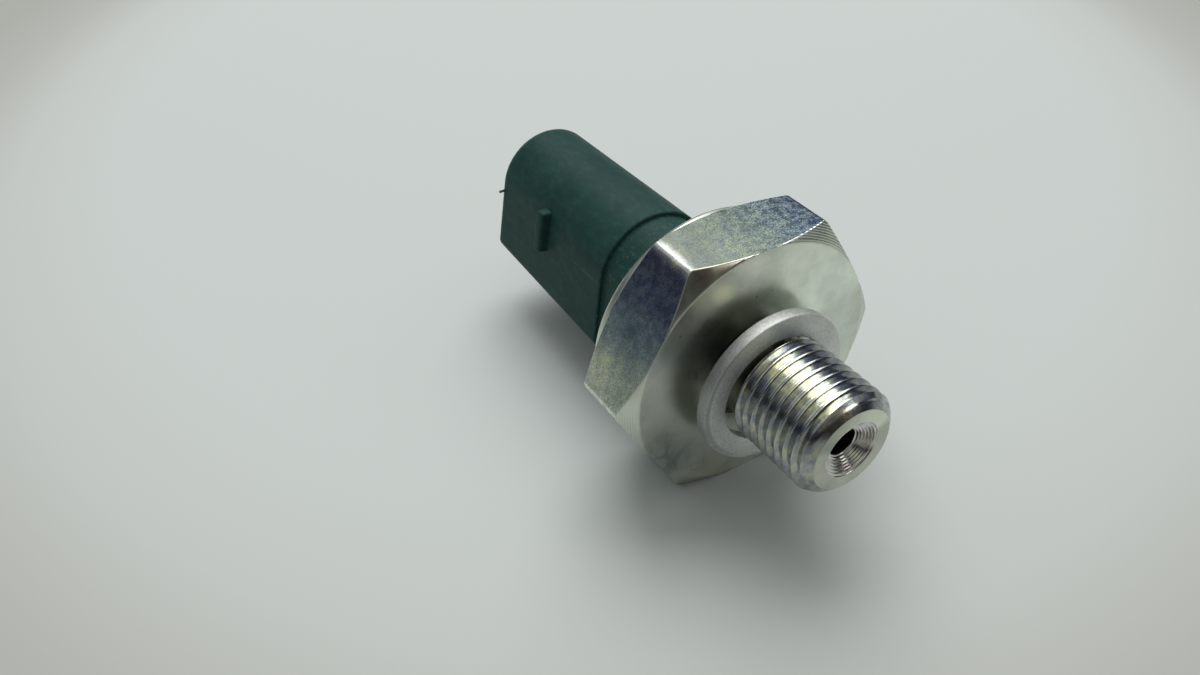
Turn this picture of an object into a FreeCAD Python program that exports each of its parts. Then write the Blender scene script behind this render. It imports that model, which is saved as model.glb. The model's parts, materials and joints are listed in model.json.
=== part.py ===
import FreeCAD, Part
import math
import os

from FreeCAD import Vector

# Oil pressure switch with an M10 thread, a crimped hexagon body and a moulded connector.
#
# Frame, in millimetres: the thread's axis is the Y axis. The origin is where that axis crosses
# the sealing plane, the front face of the loose washer, where the full thread starts. -Y points
# out of the threaded end, +Y out of the connector's mouth, and +Z is up. The switch lies on the
# lowest flat of its hexagon, as it would on a bench.

os.makedirs("parts", exist_ok=True)

# Thread stub and oil port
THREAD_R = 5.0
THREAD_LENGTH = 8.0
TIP_CHAMFER = 1.1
RELIEF_R = 4.2
RELIEF_RUNOUT = 0.6
RELIEF_FILLET = 0.4
PORT_R = 1.3
PORT_MOUTH_R = 2.7
PORT_MOUTH_DEPTH = 1.1

# Loose sealing washer, kept on the thread relief by three small nibs
WASHER_R = 7.3
WASHER_BORE_R = 5.15
WASHER_THICKNESS = 1.2
WASHER_RIM_CHAMFER = 0.12
WASHER_BORE_CHAMFER = 0.3
WASHER_TO_HEX = 1.8
WASHER_LEAN_ANGLE = 218.0
WASHER_HANG_GAP = 0.02
NIB_COUNT = 3
NIB_INNER_R = 4.58
NIB_WIDTH = 1.5
NIB_THICKNESS = 0.4
NIB_FIRST_ANGLE = 83.0

# Hexagon
HEX_ACROSS_FLATS = 24.0
HEX_LENGTH = 7.0
HEX_CORNER_ROUND = 0.6
HEX_CHAMFER_ANGLE = 30.0
FRONT_CHAMFER_MARGIN = 0.05
BACK_CHAMFER_MARGIN = -0.2
BAR_ALLOWANCE = 0.5

# Crimped rim behind the hexagon, and the pressure side of the body
RIM_STEP = 0.5
RIM_WALL = 1.3
RIM_ROUND = 0.6
LIP_THICKNESS = 0.6
LIP_OVERLAP = 1.2
FLOOR_THICKNESS = 2.4
CHAMBER_DEPTH = 0.5
CHAMBER_LAND = 0.6
GROOVE_LAND = 1.4
GROOVE_WIDTH = 1.8
GROOVE_DEPTH = 0.8
GROOVE_SEAL_ROUND = 0.27
SEAL_SLACK = 0.05

# Diaphragm and the steel plate that clamps it
FILM_THICKNESS = 0.13
PLATE_CLEARANCE = 0.1
PLATE_WEB = 1.0
PLATE_HOLE_R = 2.1
CONTACT_RING_R = 4.1
CONTACT_RING_WIDTH = 1.0
CONTACT_RING_HEIGHT = 0.25

# Plunger and moving contact
PLUNGER_HEAD_MARGIN = 0.9
PLUNGER_HEAD_THICKNESS = 0.8
PLUNGER_EDGE = 0.25
PLUNGER_CLEARANCE = 0.1
PLUNGER_TRAVEL = 0.5
TRAVEL_STOP_GAP = 0.02
HEAD_CLEARANCE = 0.4
STEM_LIFT_GAP = 0.1
DISC_OVERHANG = 0.4
DISC_THICKNESS = 0.5
DISC_BOSS_HEIGHT = 1.0
DISC_BOSS_ROUND = 0.25

# Spring, its cap and the adjusting screw
SPRING_MEAN_R = 2.45
SPRING_WIRE_R = 0.25
SPRING_LENGTH = 5.5
SPRING_TURNS = 6.0
SPRING_GRIND = 0.22
SPRING_PLAY = 0.3
CAP_THICKNESS = 0.8
CAP_PILOT = 0.8
CAP_PILOT_CHAMFER = 0.27
CAP_OVERHANG = 0.5
SCREW_R = 1.47
SCREW_LENGTH = 4.0
SCREW_POINT = 0.5
SCREW_REACH = 0.5
SCREW_SLOT_WIDTH = 0.5
SCREW_SLOT_DEPTH = 0.8
THREAD_PLAY = 0.03
INSERT_R = 2.3
INSERT_LENGTH = 4.4
INSERT_FLANGE_R = 3.0
INSERT_FLANGE_THICKNESS = 0.8
KNURL_COUNT = 16
KNURL_R = 0.18

# Flat terminal, bent up from a ring-shaped foot round the insert
BLADE_WIDTH = 6.3
BLADE_THICKNESS = 0.8
BLADE_TO_INSERT = 0.15
BLADE_RECESS = 2.5
BLADE_POINT = 1.2
BLADE_POINT_TAPER = 0.25
BLADE_HOLE_R = 0.9
BLADE_HOLE_SETBACK = 3.6
FOOT_CLEARANCE = 0.05
BEND_R = 0.4

# Moulded connector housing: flange, collar, and a shroud with an arch-shaped section
SKIRT_HEIGHT = 1.24
FLANGE_THICKNESS = 1.5
SEAL_SECTION = 1.0
SKIRT_SEAL_ROUND = 0.33
SKIRT_HEADROOM = 1.3
DISC_SIDE_GAP = 0.6
SPRING_WELL_R = 3.5
COLLAR_LENGTH = 8.1
COLLAR_INSET = 0.45
SHROUD_LENGTH = 20.6
BASE_TOP_R = 6.1
BASE_TOP_Z = 0.95
BASE_HALF_WIDTH = 6.8
BASE_DEPTH = 6.1
MOUTH_TOP_R = 5.45
MOUTH_TOP_Z = 1.4
MOUTH_HALF_WIDTH = 6.5
MOUTH_DEPTH = 5.7
SECTION_CORNER_R = 1.1
MOUTH_EDGE = 0.25
SHROUD_WALL = 1.25
SOCKET_TAPER = 0.2
SOCKET_CORNER_R = 0.6
SOCKET_DEPTH = 13.0
LEAD_IN = 0.4
SCREW_WELL_R = 1.9
COMPOUND_DEPTH = 1.5

# Upright latch rib on the shroud's left side
RIB_SETBACK = 10.32
RIB_THICKNESS = 1.05
RIB_REACH = 6.6
RIB_HEIGHT = 4.0
RIB_CENTRE_Z = 1.5
RIB_ROUND = 0.15

# Places along the axis, each worked out from the sizes above
TIP_Y = -THREAD_LENGTH - TIP_CHAMFER
HEX_FRONT_Y = WASHER_THICKNESS + WASHER_TO_HEX
HEX_BACK_Y = HEX_FRONT_Y + HEX_LENGTH
SEAT_Y = HEX_FRONT_Y + FLOOR_THICKNESS
CHAMBER_Y = SEAT_Y - CHAMBER_DEPTH
GROOVE_Y = SEAT_Y - GROOVE_DEPTH
FILM_SPLIT_Y = SEAT_Y + FILM_THICKNESS
PLATE_Y = FILM_SPLIT_Y + FILM_THICKNESS
WEB_Y = PLATE_Y + PLUNGER_HEAD_THICKNESS + PLUNGER_TRAVEL + TRAVEL_STOP_GAP
PLATE_TOP_Y = WEB_Y + PLATE_WEB
DISC_Y = PLATE_TOP_Y + CONTACT_RING_HEIGHT
DISC_TOP_Y = DISC_Y + DISC_THICKNESS
SPRING_TOP_Y = DISC_TOP_Y + SPRING_LENGTH
CAP_TOP_Y = SPRING_TOP_Y + CAP_THICKNESS
INSERT_Y = CAP_TOP_Y + SCREW_REACH
INSERT_TOP_Y = INSERT_Y + INSERT_LENGTH
FOOT_Y = INSERT_Y + INSERT_FLANGE_THICKNESS
FLANGE_Y = PLATE_TOP_Y + SKIRT_HEIGHT
FLANGE_TOP_Y = FLANGE_Y + FLANGE_THICKNESS
RIM_TOP_Y = FLANGE_TOP_Y + LIP_THICKNESS
SHROUD_Y = FLANGE_TOP_Y + COLLAR_LENGTH
MOUTH_Y = SHROUD_Y + SHROUD_LENGTH
SOCKET_Y = MOUTH_Y - SOCKET_DEPTH
HEADROOM_Y = DISC_TOP_Y + PLUNGER_TRAVEL + SKIRT_HEADROOM
RIB_Y = MOUTH_Y - RIB_SETBACK

# Radii that follow from the hexagon and from what each piece fits into
HEX_INRADIUS = HEX_ACROSS_FLATS / 2
HEX_CORNER_R = HEX_INRADIUS / math.cos(math.radians(30))
RIM_R = HEX_INRADIUS - RIM_STEP
CAVITY_R = RIM_R - RIM_WALL
LIP_R = CAVITY_R - LIP_OVERLAP
PLATE_R = CAVITY_R - PLATE_CLEARANCE
GROOVE_OUTER_R = CAVITY_R - GROOVE_LAND
GROOVE_INNER_R = GROOVE_OUTER_R - GROOVE_WIDTH
CHAMBER_R = GROOVE_INNER_R - CHAMBER_LAND
PLUNGER_HEAD_R = CHAMBER_R - PLUNGER_HEAD_MARGIN
STEM_R = PLATE_HOLE_R - PLUNGER_CLEARANCE
HEAD_RECESS_R = PLUNGER_HEAD_R + HEAD_CLEARANCE
DISC_R = CONTACT_RING_R + CONTACT_RING_WIDTH / 2 + DISC_OVERHANG
SPRING_INNER_R = SPRING_MEAN_R - SPRING_WIRE_R
PILOT_R = SPRING_INNER_R - SPRING_PLAY
CAP_R = SPRING_MEAN_R + SPRING_WIRE_R + CAP_OVERHANG
INSERT_BORE_R = SCREW_R + THREAD_PLAY
SKIRT_R = PLATE_R - SEAL_SECTION
SKIRT_BORE_R = DISC_R + DISC_SIDE_GAP
BLADE_TOP_Z = -(INSERT_R + BLADE_TO_INSERT)
BLADE_LOW_Z = BLADE_TOP_Z - BLADE_THICKNESS
AXIS = Vector(0, 1, 0)
CENTRE = Vector(0, 0, 0)
NEAR = 1e-4


def cylinder(radius, y0, y1, x=0.0, z=0.0):
    """Round bar along Y between two places on the axis."""
    return Part.makeCylinder(radius, y1 - y0, Vector(x, y0, z), AXIS)


def ring(inner, outer, y0, y1):
    """Flat ring along Y."""
    return cylinder(outer, y0, y1).cut(cylinder(inner, y0, y1))


def box(x0, x1, y0, y1, z0, z1):
    """Block between two corners."""
    return Part.makeBox(x1 - x0, y1 - y0, z1 - z0, Vector(x0, y0, z0))


def turned(profile):
    """Solid of revolution about Y from a closed outline of (radius, y) points."""
    points = [Vector(r, y, 0) for r, y in profile]
    wire = Part.makePolygon(points + points[:1])
    return Part.Face(wire).revolve(CENTRE, AXIS, 360)


def rounded_ring(inner, outer, y0, y1, corner):
    """Elastic ring pressed between flat faces: a rectangle with round corners, turned about Y."""
    solid = turned([(inner, y0), (outer, y0), (outer, y1), (inner, y1)])
    return solid.makeFillet(corner, circles_of(solid))


def circles_of(solid):
    """Every full round edge of a turned solid."""
    return [e for e in solid.Edges if isinstance(e.Curve, Part.Circle) and e.Closed]


def circles_at(solid, radius, y):
    """The round edges of a given radius at one place on the axis."""
    return [e for e in circles_of(solid)
            if abs(e.Curve.Radius - radius) < NEAR and abs(e.Curve.Center.y - y) < NEAR]


def hexagon_prism(y0, y1):
    """Hexagon bar with softly rounded long edges, one flat facing straight down."""
    tangent = HEX_CORNER_ROUND * math.tan(math.radians(30))
    corners = []
    for k in range(6):
        a = math.radians(60 * k)
        corners.append(Vector(HEX_CORNER_R * math.cos(a), y0, HEX_CORNER_R * math.sin(a)))
    edges = []
    joints = []
    for k, corner in enumerate(corners):
        to_last = (corners[k - 1] - corner).normalize()
        to_next = (corners[(k + 1) % 6] - corner).normalize()
        start = corner + to_last * tangent
        end = corner + to_next * tangent
        apex = HEX_CORNER_R - HEX_CORNER_ROUND * (1 / math.cos(math.radians(30)) - 1)
        middle = Vector(corner.x, 0, corner.z).normalize() * apex + Vector(0, y0, 0)
        joints.append((start, end))
        edges.append(Part.Arc(start, middle, end).toShape())
    for k in range(6):
        edges.append(Part.LineSegment(joints[k][1], joints[(k + 1) % 6][0]).toShape())
    wire = Part.Wire(Part.__sortEdges__(edges))
    return Part.Face(wire).extrude(Vector(0, y1 - y0, 0))


def body_outside():
    """Everything turned on the outside: tip chamfer, thread, relief, hexagon blank and rim."""
    slope = math.tan(math.radians(HEX_CHAMFER_ANGLE))
    front_r = HEX_INRADIUS + FRONT_CHAMFER_MARGIN
    back_r = HEX_INRADIUS + BACK_CHAMFER_MARGIN
    blank_r = HEX_CORNER_R + BAR_ALLOWANCE
    solid = turned([
        (0, TIP_Y),
        (THREAD_R - TIP_CHAMFER, TIP_Y),
        (THREAD_R, TIP_Y + TIP_CHAMFER),
        (THREAD_R, 0),
        (RELIEF_R, RELIEF_RUNOUT),
        (RELIEF_R, HEX_FRONT_Y),
        (front_r, HEX_FRONT_Y),
        (blank_r, HEX_FRONT_Y + (blank_r - front_r) * slope),
        (blank_r, HEX_BACK_Y - (blank_r - back_r) * slope),
        (back_r, HEX_BACK_Y),
        (RIM_R, HEX_BACK_Y),
        (RIM_R, RIM_TOP_Y),
        (0, RIM_TOP_Y),
    ])
    solid = solid.makeFillet(RELIEF_FILLET, circles_at(solid, RELIEF_R, HEX_FRONT_Y))
    return solid.makeFillet(RIM_ROUND, circles_at(solid, RIM_R, RIM_TOP_Y))


def body_inside():
    """Oil port, pressure chamber, seal groove and the cavity up to the rolled lip."""
    return turned([
        (0, TIP_Y),
        (PORT_MOUTH_R, TIP_Y),
        (PORT_R, TIP_Y + PORT_MOUTH_DEPTH),
        (PORT_R, CHAMBER_Y),
        (CHAMBER_R, CHAMBER_Y),
        (CHAMBER_R, SEAT_Y),
        (GROOVE_INNER_R, SEAT_Y),
        (GROOVE_INNER_R, GROOVE_Y),
        (GROOVE_OUTER_R, GROOVE_Y),
        (GROOVE_OUTER_R, SEAT_Y),
        (CAVITY_R, SEAT_Y),
        (CAVITY_R, FLANGE_TOP_Y),
        (LIP_R, FLANGE_TOP_Y),
        (LIP_R, RIM_TOP_Y),
        (0, RIM_TOP_Y),
    ])


def hex_body():
    """Steel body: threaded stub, hexagon and crimped rim, machined from one bar."""
    waste_r = HEX_CORNER_R + 2 * BAR_ALLOWANCE
    waste = cylinder(waste_r, HEX_FRONT_Y, HEX_BACK_Y).cut(hexagon_prism(HEX_FRONT_Y, HEX_BACK_Y))
    return body_outside().cut(waste).cut(body_inside())


def sealing_washer():
    """Soft metal washer, hanging loose on the thread relief as far as its nibs allow."""
    washer = ring(WASHER_BORE_R, WASHER_R, 0, WASHER_THICKNESS)
    bore_edges = [e for e in circles_of(washer) if e.Curve.Radius < WASHER_R - NEAR]
    washer = washer.makeChamfer(WASHER_BORE_CHAMFER, bore_edges)
    rim_edges = [e for e in circles_of(washer) if e.Curve.Radius > WASHER_R - NEAR]
    washer = washer.makeChamfer(WASHER_RIM_CHAMFER, rim_edges)
    nib_y = WASHER_THICKNESS - NIB_THICKNESS
    gauge = cylinder(NIB_INNER_R, 0, WASHER_THICKNESS)
    for k in range(NIB_COUNT):
        overlap = WASHER_BORE_R + WASHER_BORE_CHAMFER
        nib = box(0, overlap, nib_y, WASHER_THICKNESS, -NIB_WIDTH / 2, NIB_WIDTH / 2)
        nib = nib.cut(gauge)
        nib.rotate(CENTRE, AXIS, -(NIB_FIRST_ANGLE + 360 / NIB_COUNT * k))
        washer = washer.fuse(nib)
    washer = washer.removeSplitter()
    play = NIB_INNER_R - RELIEF_R - WASHER_HANG_GAP
    lean = math.radians(WASHER_LEAN_ANGLE)
    washer.translate(Vector(play * math.cos(lean), 0, play * math.sin(lean)))
    return washer


def diaphragm_seal():
    """Rubber ring under the diaphragm, squeezed into its groove."""
    inner = GROOVE_INNER_R + SEAL_SLACK
    outer = GROOVE_OUTER_R - SEAL_SLACK
    return rounded_ring(inner, outer, GROOVE_Y, SEAT_Y, GROOVE_SEAL_ROUND)


def diaphragm_film(y):
    """One of the two stacked plastic film discs that the oil pushes on."""
    return cylinder(PLATE_R, y, y + FILM_THICKNESS)


def contact_plate():
    """Steel plate that clamps the films, guides the plunger and carries the fixed contact ring."""
    ring_inner = CONTACT_RING_R - CONTACT_RING_WIDTH / 2
    ring_outer = CONTACT_RING_R + CONTACT_RING_WIDTH / 2
    return turned([
        (HEAD_RECESS_R, PLATE_Y),
        (PLATE_R, PLATE_Y),
        (PLATE_R, PLATE_TOP_Y),
        (ring_outer, PLATE_TOP_Y),
        (ring_outer, DISC_Y),
        (ring_inner, DISC_Y),
        (ring_inner, PLATE_TOP_Y),
        (PLATE_HOLE_R, PLATE_TOP_Y),
        (PLATE_HOLE_R, WEB_Y),
        (HEAD_RECESS_R, WEB_Y),
    ])


def plunger():
    """Plastic plunger: a wide head on the film and a stem that lifts the moving contact."""
    head = cylinder(PLUNGER_HEAD_R, PLATE_Y, PLATE_Y + PLUNGER_HEAD_THICKNESS)
    head = head.makeFillet(PLUNGER_EDGE, circles_of(head))
    stem = cylinder(STEM_R, PLATE_Y, DISC_Y - STEM_LIFT_GAP)
    stem_top = circles_at(stem, STEM_R, DISC_Y - STEM_LIFT_GAP)
    return head.fuse(stem.makeChamfer(PLUNGER_EDGE, stem_top)).removeSplitter()


def contact_disc():
    """Moving contact: a stamped disc with a hollow boss that centres the spring."""
    wall = DISC_THICKNESS
    boss_top = DISC_TOP_Y + DISC_BOSS_HEIGHT
    disc = turned([
        (0, boss_top - wall),
        (PILOT_R - wall, boss_top - wall),
        (PILOT_R - wall, DISC_Y),
        (DISC_R, DISC_Y),
        (DISC_R, DISC_TOP_Y),
        (PILOT_R, DISC_TOP_Y),
        (PILOT_R, boss_top),
        (0, boss_top),
    ])
    return disc.makeFillet(DISC_BOSS_ROUND, circles_at(disc, PILOT_R, boss_top))


def calibration_spring():
    """Compression spring, with both ends ground flat."""
    start_y = DISC_TOP_Y - SPRING_GRIND + SPRING_WIRE_R
    height = SPRING_LENGTH + 2 * SPRING_GRIND - 2 * SPRING_WIRE_R
    helix = Part.makeHelix(height / SPRING_TURNS, height, SPRING_MEAN_R)
    section = Part.Wire(Part.makeCircle(SPRING_WIRE_R, Vector(SPRING_MEAN_R, 0, 0), AXIS))
    wire = Part.Wire(helix).makePipeShell([section], True, True)
    wire.rotate(CENTRE, Vector(1, 0, 0), -90)
    wire.translate(Vector(0, start_y, 0))
    between_seats = cylinder(SPRING_MEAN_R + 2 * SPRING_WIRE_R, DISC_TOP_Y, SPRING_TOP_Y)
    return wire.common(between_seats)


def spring_cap():
    """Brass cap between the spring and the screw's point."""
    pilot = cylinder(PILOT_R, SPRING_TOP_Y - CAP_PILOT, SPRING_TOP_Y)
    pilot_end = circles_at(pilot, PILOT_R, SPRING_TOP_Y - CAP_PILOT)
    pilot = pilot.makeChamfer(CAP_PILOT_CHAMFER, pilot_end)
    return cylinder(CAP_R, SPRING_TOP_Y, CAP_TOP_Y).fuse(pilot).removeSplitter()


def adjusting_screw():
    """Slotted set screw that loads the spring to the switching pressure."""
    top = CAP_TOP_Y + SCREW_LENGTH
    screw = cylinder(SCREW_R, CAP_TOP_Y, top)
    screw = screw.makeChamfer(SCREW_POINT, circles_at(screw, SCREW_R, CAP_TOP_Y))
    half = SCREW_SLOT_WIDTH / 2
    return screw.cut(box(-SCREW_R, SCREW_R, top - SCREW_SLOT_DEPTH, top, -half, half))


def insert_blank():
    """Outside of the brass insert before its bore and knurl are cut."""
    flange = cylinder(INSERT_FLANGE_R, INSERT_Y, FOOT_Y)
    return flange.fuse(cylinder(INSERT_R, INSERT_Y, INSERT_TOP_Y)).removeSplitter()


def threaded_insert():
    """Brass bush moulded into the housing, knurled so that it can't turn."""
    insert = insert_blank().cut(cylinder(INSERT_BORE_R, INSERT_Y, INSERT_TOP_Y))
    knurl_y = FOOT_Y + BLADE_THICKNESS
    for k in range(KNURL_COUNT):
        a = 2 * math.pi * k / KNURL_COUNT
        x = INSERT_R * math.cos(a)
        z = INSERT_R * math.sin(a)
        insert = insert.cut(cylinder(KNURL_R, knurl_y, INSERT_TOP_Y, x, z))
    return insert


def terminal_blank():
    """Flat terminal: a foot with a round upper side, bent up into the blade."""
    half = BLADE_WIDTH / 2
    foot_top = FOOT_Y + BLADE_THICKNESS
    tip_y = MOUTH_Y - BLADE_RECESS
    foot = cylinder(half, FOOT_Y, foot_top)
    foot = foot.fuse(box(-half, half, FOOT_Y, foot_top, BLADE_LOW_Z, 0))
    foot = foot.cut(cylinder(INSERT_R + FOOT_CLEARANCE, FOOT_Y, foot_top))
    blade = box(-half, half, FOOT_Y, tip_y, BLADE_LOW_Z, BLADE_TOP_Z)
    flat = foot.fuse(blade).removeSplitter()
    heel = [e for e in flat.Edges if is_heel(e)]
    return flat.makeFillet(BEND_R, heel)


def is_heel(edge):
    """True for the long outer edge where the terminal's foot turns up into the blade."""
    middle = edge.CenterOfMass
    return abs(middle.y - FOOT_Y) < NEAR and abs(middle.z - BLADE_LOW_Z) < NEAR


def terminal_blade():
    """Terminal with its tapered point and the small locking hole in the blade."""
    half = BLADE_WIDTH / 2
    tip_y = MOUTH_Y - BLADE_RECESS
    side = BLADE_POINT_TAPER
    blade = terminal_blank()
    hole_y = tip_y - BLADE_HOLE_SETBACK
    hole = Part.makeCylinder(BLADE_HOLE_R, BLADE_THICKNESS, Vector(0, hole_y, BLADE_LOW_Z))
    blade = blade.cut(hole)
    for z, inward in ((BLADE_LOW_Z, side), (BLADE_TOP_Z, -side)):
        wedge = prism_x([(tip_y, z), (tip_y, z + inward), (tip_y - BLADE_POINT, z)], -half, half)
        blade = blade.cut(wedge)
    for sign in (-1, 1):
        corner = [(sign * half, tip_y), (sign * (half - BLADE_POINT), tip_y),
                  (sign * half, tip_y - BLADE_POINT)]
        blade = blade.cut(prism_z(corner, BLADE_LOW_Z, BLADE_TOP_Z))
    return blade


def prism_x(outline, x0, x1):
    """Prism along X from (y, z) points."""
    points = [Vector(x0, y, z) for y, z in outline]
    face = Part.Face(Part.makePolygon(points + points[:1]))
    return face.extrude(Vector(x1 - x0, 0, 0))


def prism_y(outline, y0, y1):
    """Prism along Y from (x, z) points."""
    points = [Vector(x, y0, z) for x, z in outline]
    face = Part.Face(Part.makePolygon(points + points[:1]))
    return face.extrude(Vector(0, y1 - y0, 0))


def prism_z(outline, z0, z1):
    """Prism along Z from (x, y) points."""
    points = [Vector(x, y, z0) for x, y in outline]
    face = Part.Face(Part.makePolygon(points + points[:1]))
    return face.extrude(Vector(0, 0, z1 - z0))


def section_at(y):
    """Arch section of the drafted shroud at one place: top radius, top centre, half width, depth."""
    share = (y - SHROUD_Y) / SHROUD_LENGTH
    base = (BASE_TOP_R, BASE_TOP_Z, BASE_HALF_WIDTH, BASE_DEPTH)
    mouth = (MOUTH_TOP_R, MOUTH_TOP_Z, MOUTH_HALF_WIDTH, MOUTH_DEPTH)
    return tuple(a + (b - a) * share for a, b in zip(base, mouth))


def inset(section, distance):
    """The same arch, smaller all round by a distance."""
    top_r, top_z, half_width, depth = section
    return (top_r - distance, top_z, half_width - distance, depth - distance)


def arch_wire(y, section, corner_r):
    """Arch outline: a big arc above, straight sides that splay down to two small corner arcs."""
    top_r, top_z, half_width, depth = section
    low_x = half_width - corner_r
    low_z = corner_r - depth
    span = math.hypot(low_x, low_z - top_z)
    down = math.atan2(low_z - top_z, low_x)
    side = down + math.acos((top_r - corner_r) / span)
    turn = (side - math.pi / 2) / 2
    high = Vector(top_r * math.cos(side), y, top_z + top_r * math.sin(side))
    low = Vector(low_x + corner_r * math.cos(side), y, low_z + corner_r * math.sin(side))
    knee = Vector(low_x + corner_r * math.cos(turn), y, low_z + corner_r * math.sin(turn))
    foot = Vector(low_x, y, -depth)
    crown = Vector(0, y, top_z + top_r)
    mirror = [Vector(-p.x, p.y, p.z) for p in (high, low, knee, foot)]
    edges = [
        Part.Arc(high, crown, mirror[0]).toShape(),
        Part.LineSegment(mirror[0], mirror[1]).toShape(),
        Part.Arc(mirror[1], mirror[2], mirror[3]).toShape(),
        Part.LineSegment(mirror[3], foot).toShape(),
        Part.Arc(foot, knee, low).toShape(),
        Part.LineSegment(low, high).toShape(),
    ]
    return Part.Wire(edges)


def shroud_outside():
    """Drafted arch shroud, with a small chamfer round its mouth."""
    edge_y = MOUTH_Y - MOUTH_EDGE
    base = arch_wire(SHROUD_Y, section_at(SHROUD_Y), SECTION_CORNER_R)
    edge = arch_wire(edge_y, section_at(edge_y), SECTION_CORNER_R)
    mouth_section = inset(section_at(MOUTH_Y), MOUTH_EDGE)
    mouth = arch_wire(MOUTH_Y, mouth_section, SECTION_CORNER_R - MOUTH_EDGE)
    shroud = Part.makeLoft([base, edge], True, True)
    return shroud.fuse(Part.makeLoft([edge, mouth], True, True))


def socket_core():
    """The open space for the plug, tapered inwards, with a lead-in chamfer at the mouth."""
    rim = section_at(MOUTH_Y)
    lead_y = MOUTH_Y - LEAD_IN
    floor = arch_wire(SOCKET_Y, inset(rim, SHROUD_WALL + SOCKET_TAPER), SOCKET_CORNER_R)
    throat = arch_wire(lead_y, inset(rim, SHROUD_WALL), SOCKET_CORNER_R)
    open_end = arch_wire(MOUTH_Y, inset(rim, SHROUD_WALL - LEAD_IN), SOCKET_CORNER_R + LEAD_IN)
    core = Part.makeLoft([floor, throat], True, True)
    return core.fuse(Part.makeLoft([throat, open_end], True, True))


def latch_rib():
    """Plain upright rib that a plug's latch catches on, with soft outer edges."""
    low = RIB_CENTRE_Z - RIB_HEIGHT / 2
    rib = box(-RIB_REACH, 0, RIB_Y, RIB_Y + RIB_THICKNESS, low, low + RIB_HEIGHT)
    outer = [e for e in rib.Edges if abs(e.CenterOfMass.x + RIB_REACH) < NEAR]
    return rib.makeFillet(RIB_ROUND, outer)


def housing_outside():
    """Skirt, flange, collar, shroud and latch rib before anything is cut out."""
    collar_section = inset(section_at(SHROUD_Y), COLLAR_INSET)
    collar = arch_wire(FLANGE_Y, collar_section, SECTION_CORNER_R - COLLAR_INSET)
    solid = cylinder(SKIRT_R, PLATE_TOP_Y, FLANGE_Y)
    solid = solid.fuse(cylinder(PLATE_R, FLANGE_Y, FLANGE_TOP_Y))
    solid = solid.fuse(Part.Face(collar).extrude(Vector(0, SHROUD_Y - FLANGE_Y, 0)))
    solid = solid.fuse(shroud_outside())
    return solid.fuse(latch_rib()).removeSplitter()


def connector_housing():
    """Moulded housing with its socket, contact space, spring well and moulded-in metal."""
    solid = housing_outside().cut(socket_core())
    solid = solid.cut(cylinder(SKIRT_BORE_R, PLATE_TOP_Y, HEADROOM_Y))
    solid = solid.cut(cylinder(SPRING_WELL_R, HEADROOM_Y, INSERT_Y))
    solid = solid.cut(cylinder(SCREW_WELL_R, INSERT_TOP_Y, SOCKET_Y))
    solid = solid.cut(insert_blank())
    return solid.cut(terminal_blank())


def housing_seal():
    """Rubber ring between the housing's skirt and the body's wall."""
    return rounded_ring(SKIRT_R + SEAL_SLACK, PLATE_R, PLATE_TOP_Y, FLANGE_Y, SKIRT_SEAL_ROUND)


def sealing_compound():
    """Resin poured over the adjusting screw once it is set."""
    return cylinder(SCREW_WELL_R, INSERT_TOP_Y, INSERT_TOP_Y + COMPOUND_DEPTH)


PIECES = {
    "hex_body": hex_body,
    "sealing_washer": sealing_washer,
    "diaphragm_seal": diaphragm_seal,
    "diaphragm_film_oil_side": lambda: diaphragm_film(SEAT_Y),
    "diaphragm_film_dry_side": lambda: diaphragm_film(FILM_SPLIT_Y),
    "contact_plate": contact_plate,
    "plunger": plunger,
    "contact_disc": contact_disc,
    "calibration_spring": calibration_spring,
    "spring_cap": spring_cap,
    "adjusting_screw": adjusting_screw,
    "threaded_insert": threaded_insert,
    "terminal_blade": terminal_blade,
    "connector_housing": connector_housing,
    "housing_seal": housing_seal,
    "sealing_compound": sealing_compound,
}

for name, build in PIECES.items():
    shape = build()
    shape.exportStep("parts/" + name + ".step")
    count = len(shape.Solids)
    print(f"{name}: {count} solid, valid {shape.isValid()}, volume {shape.Volume:.2f} mm3")
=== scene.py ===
# %% [markdown]
# Oil pressure switch: finishing a CAD model in Blender
#
# The real thing is a small switch that screws into an engine block. It is a zinc plated steel
# hexagon with a threaded stub, a loose aluminium washer, and a dark green moulded connector that
# the steel body holds in a rolled rim. The CAD model has the sizes and the inner pieces. This
# notebook adds what a photograph shows on top of that: the thread, the soft edges and the finish
# of each surface.

import bmesh
import bpy
import json
import math
from mathutils import Matrix, Vector


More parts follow.
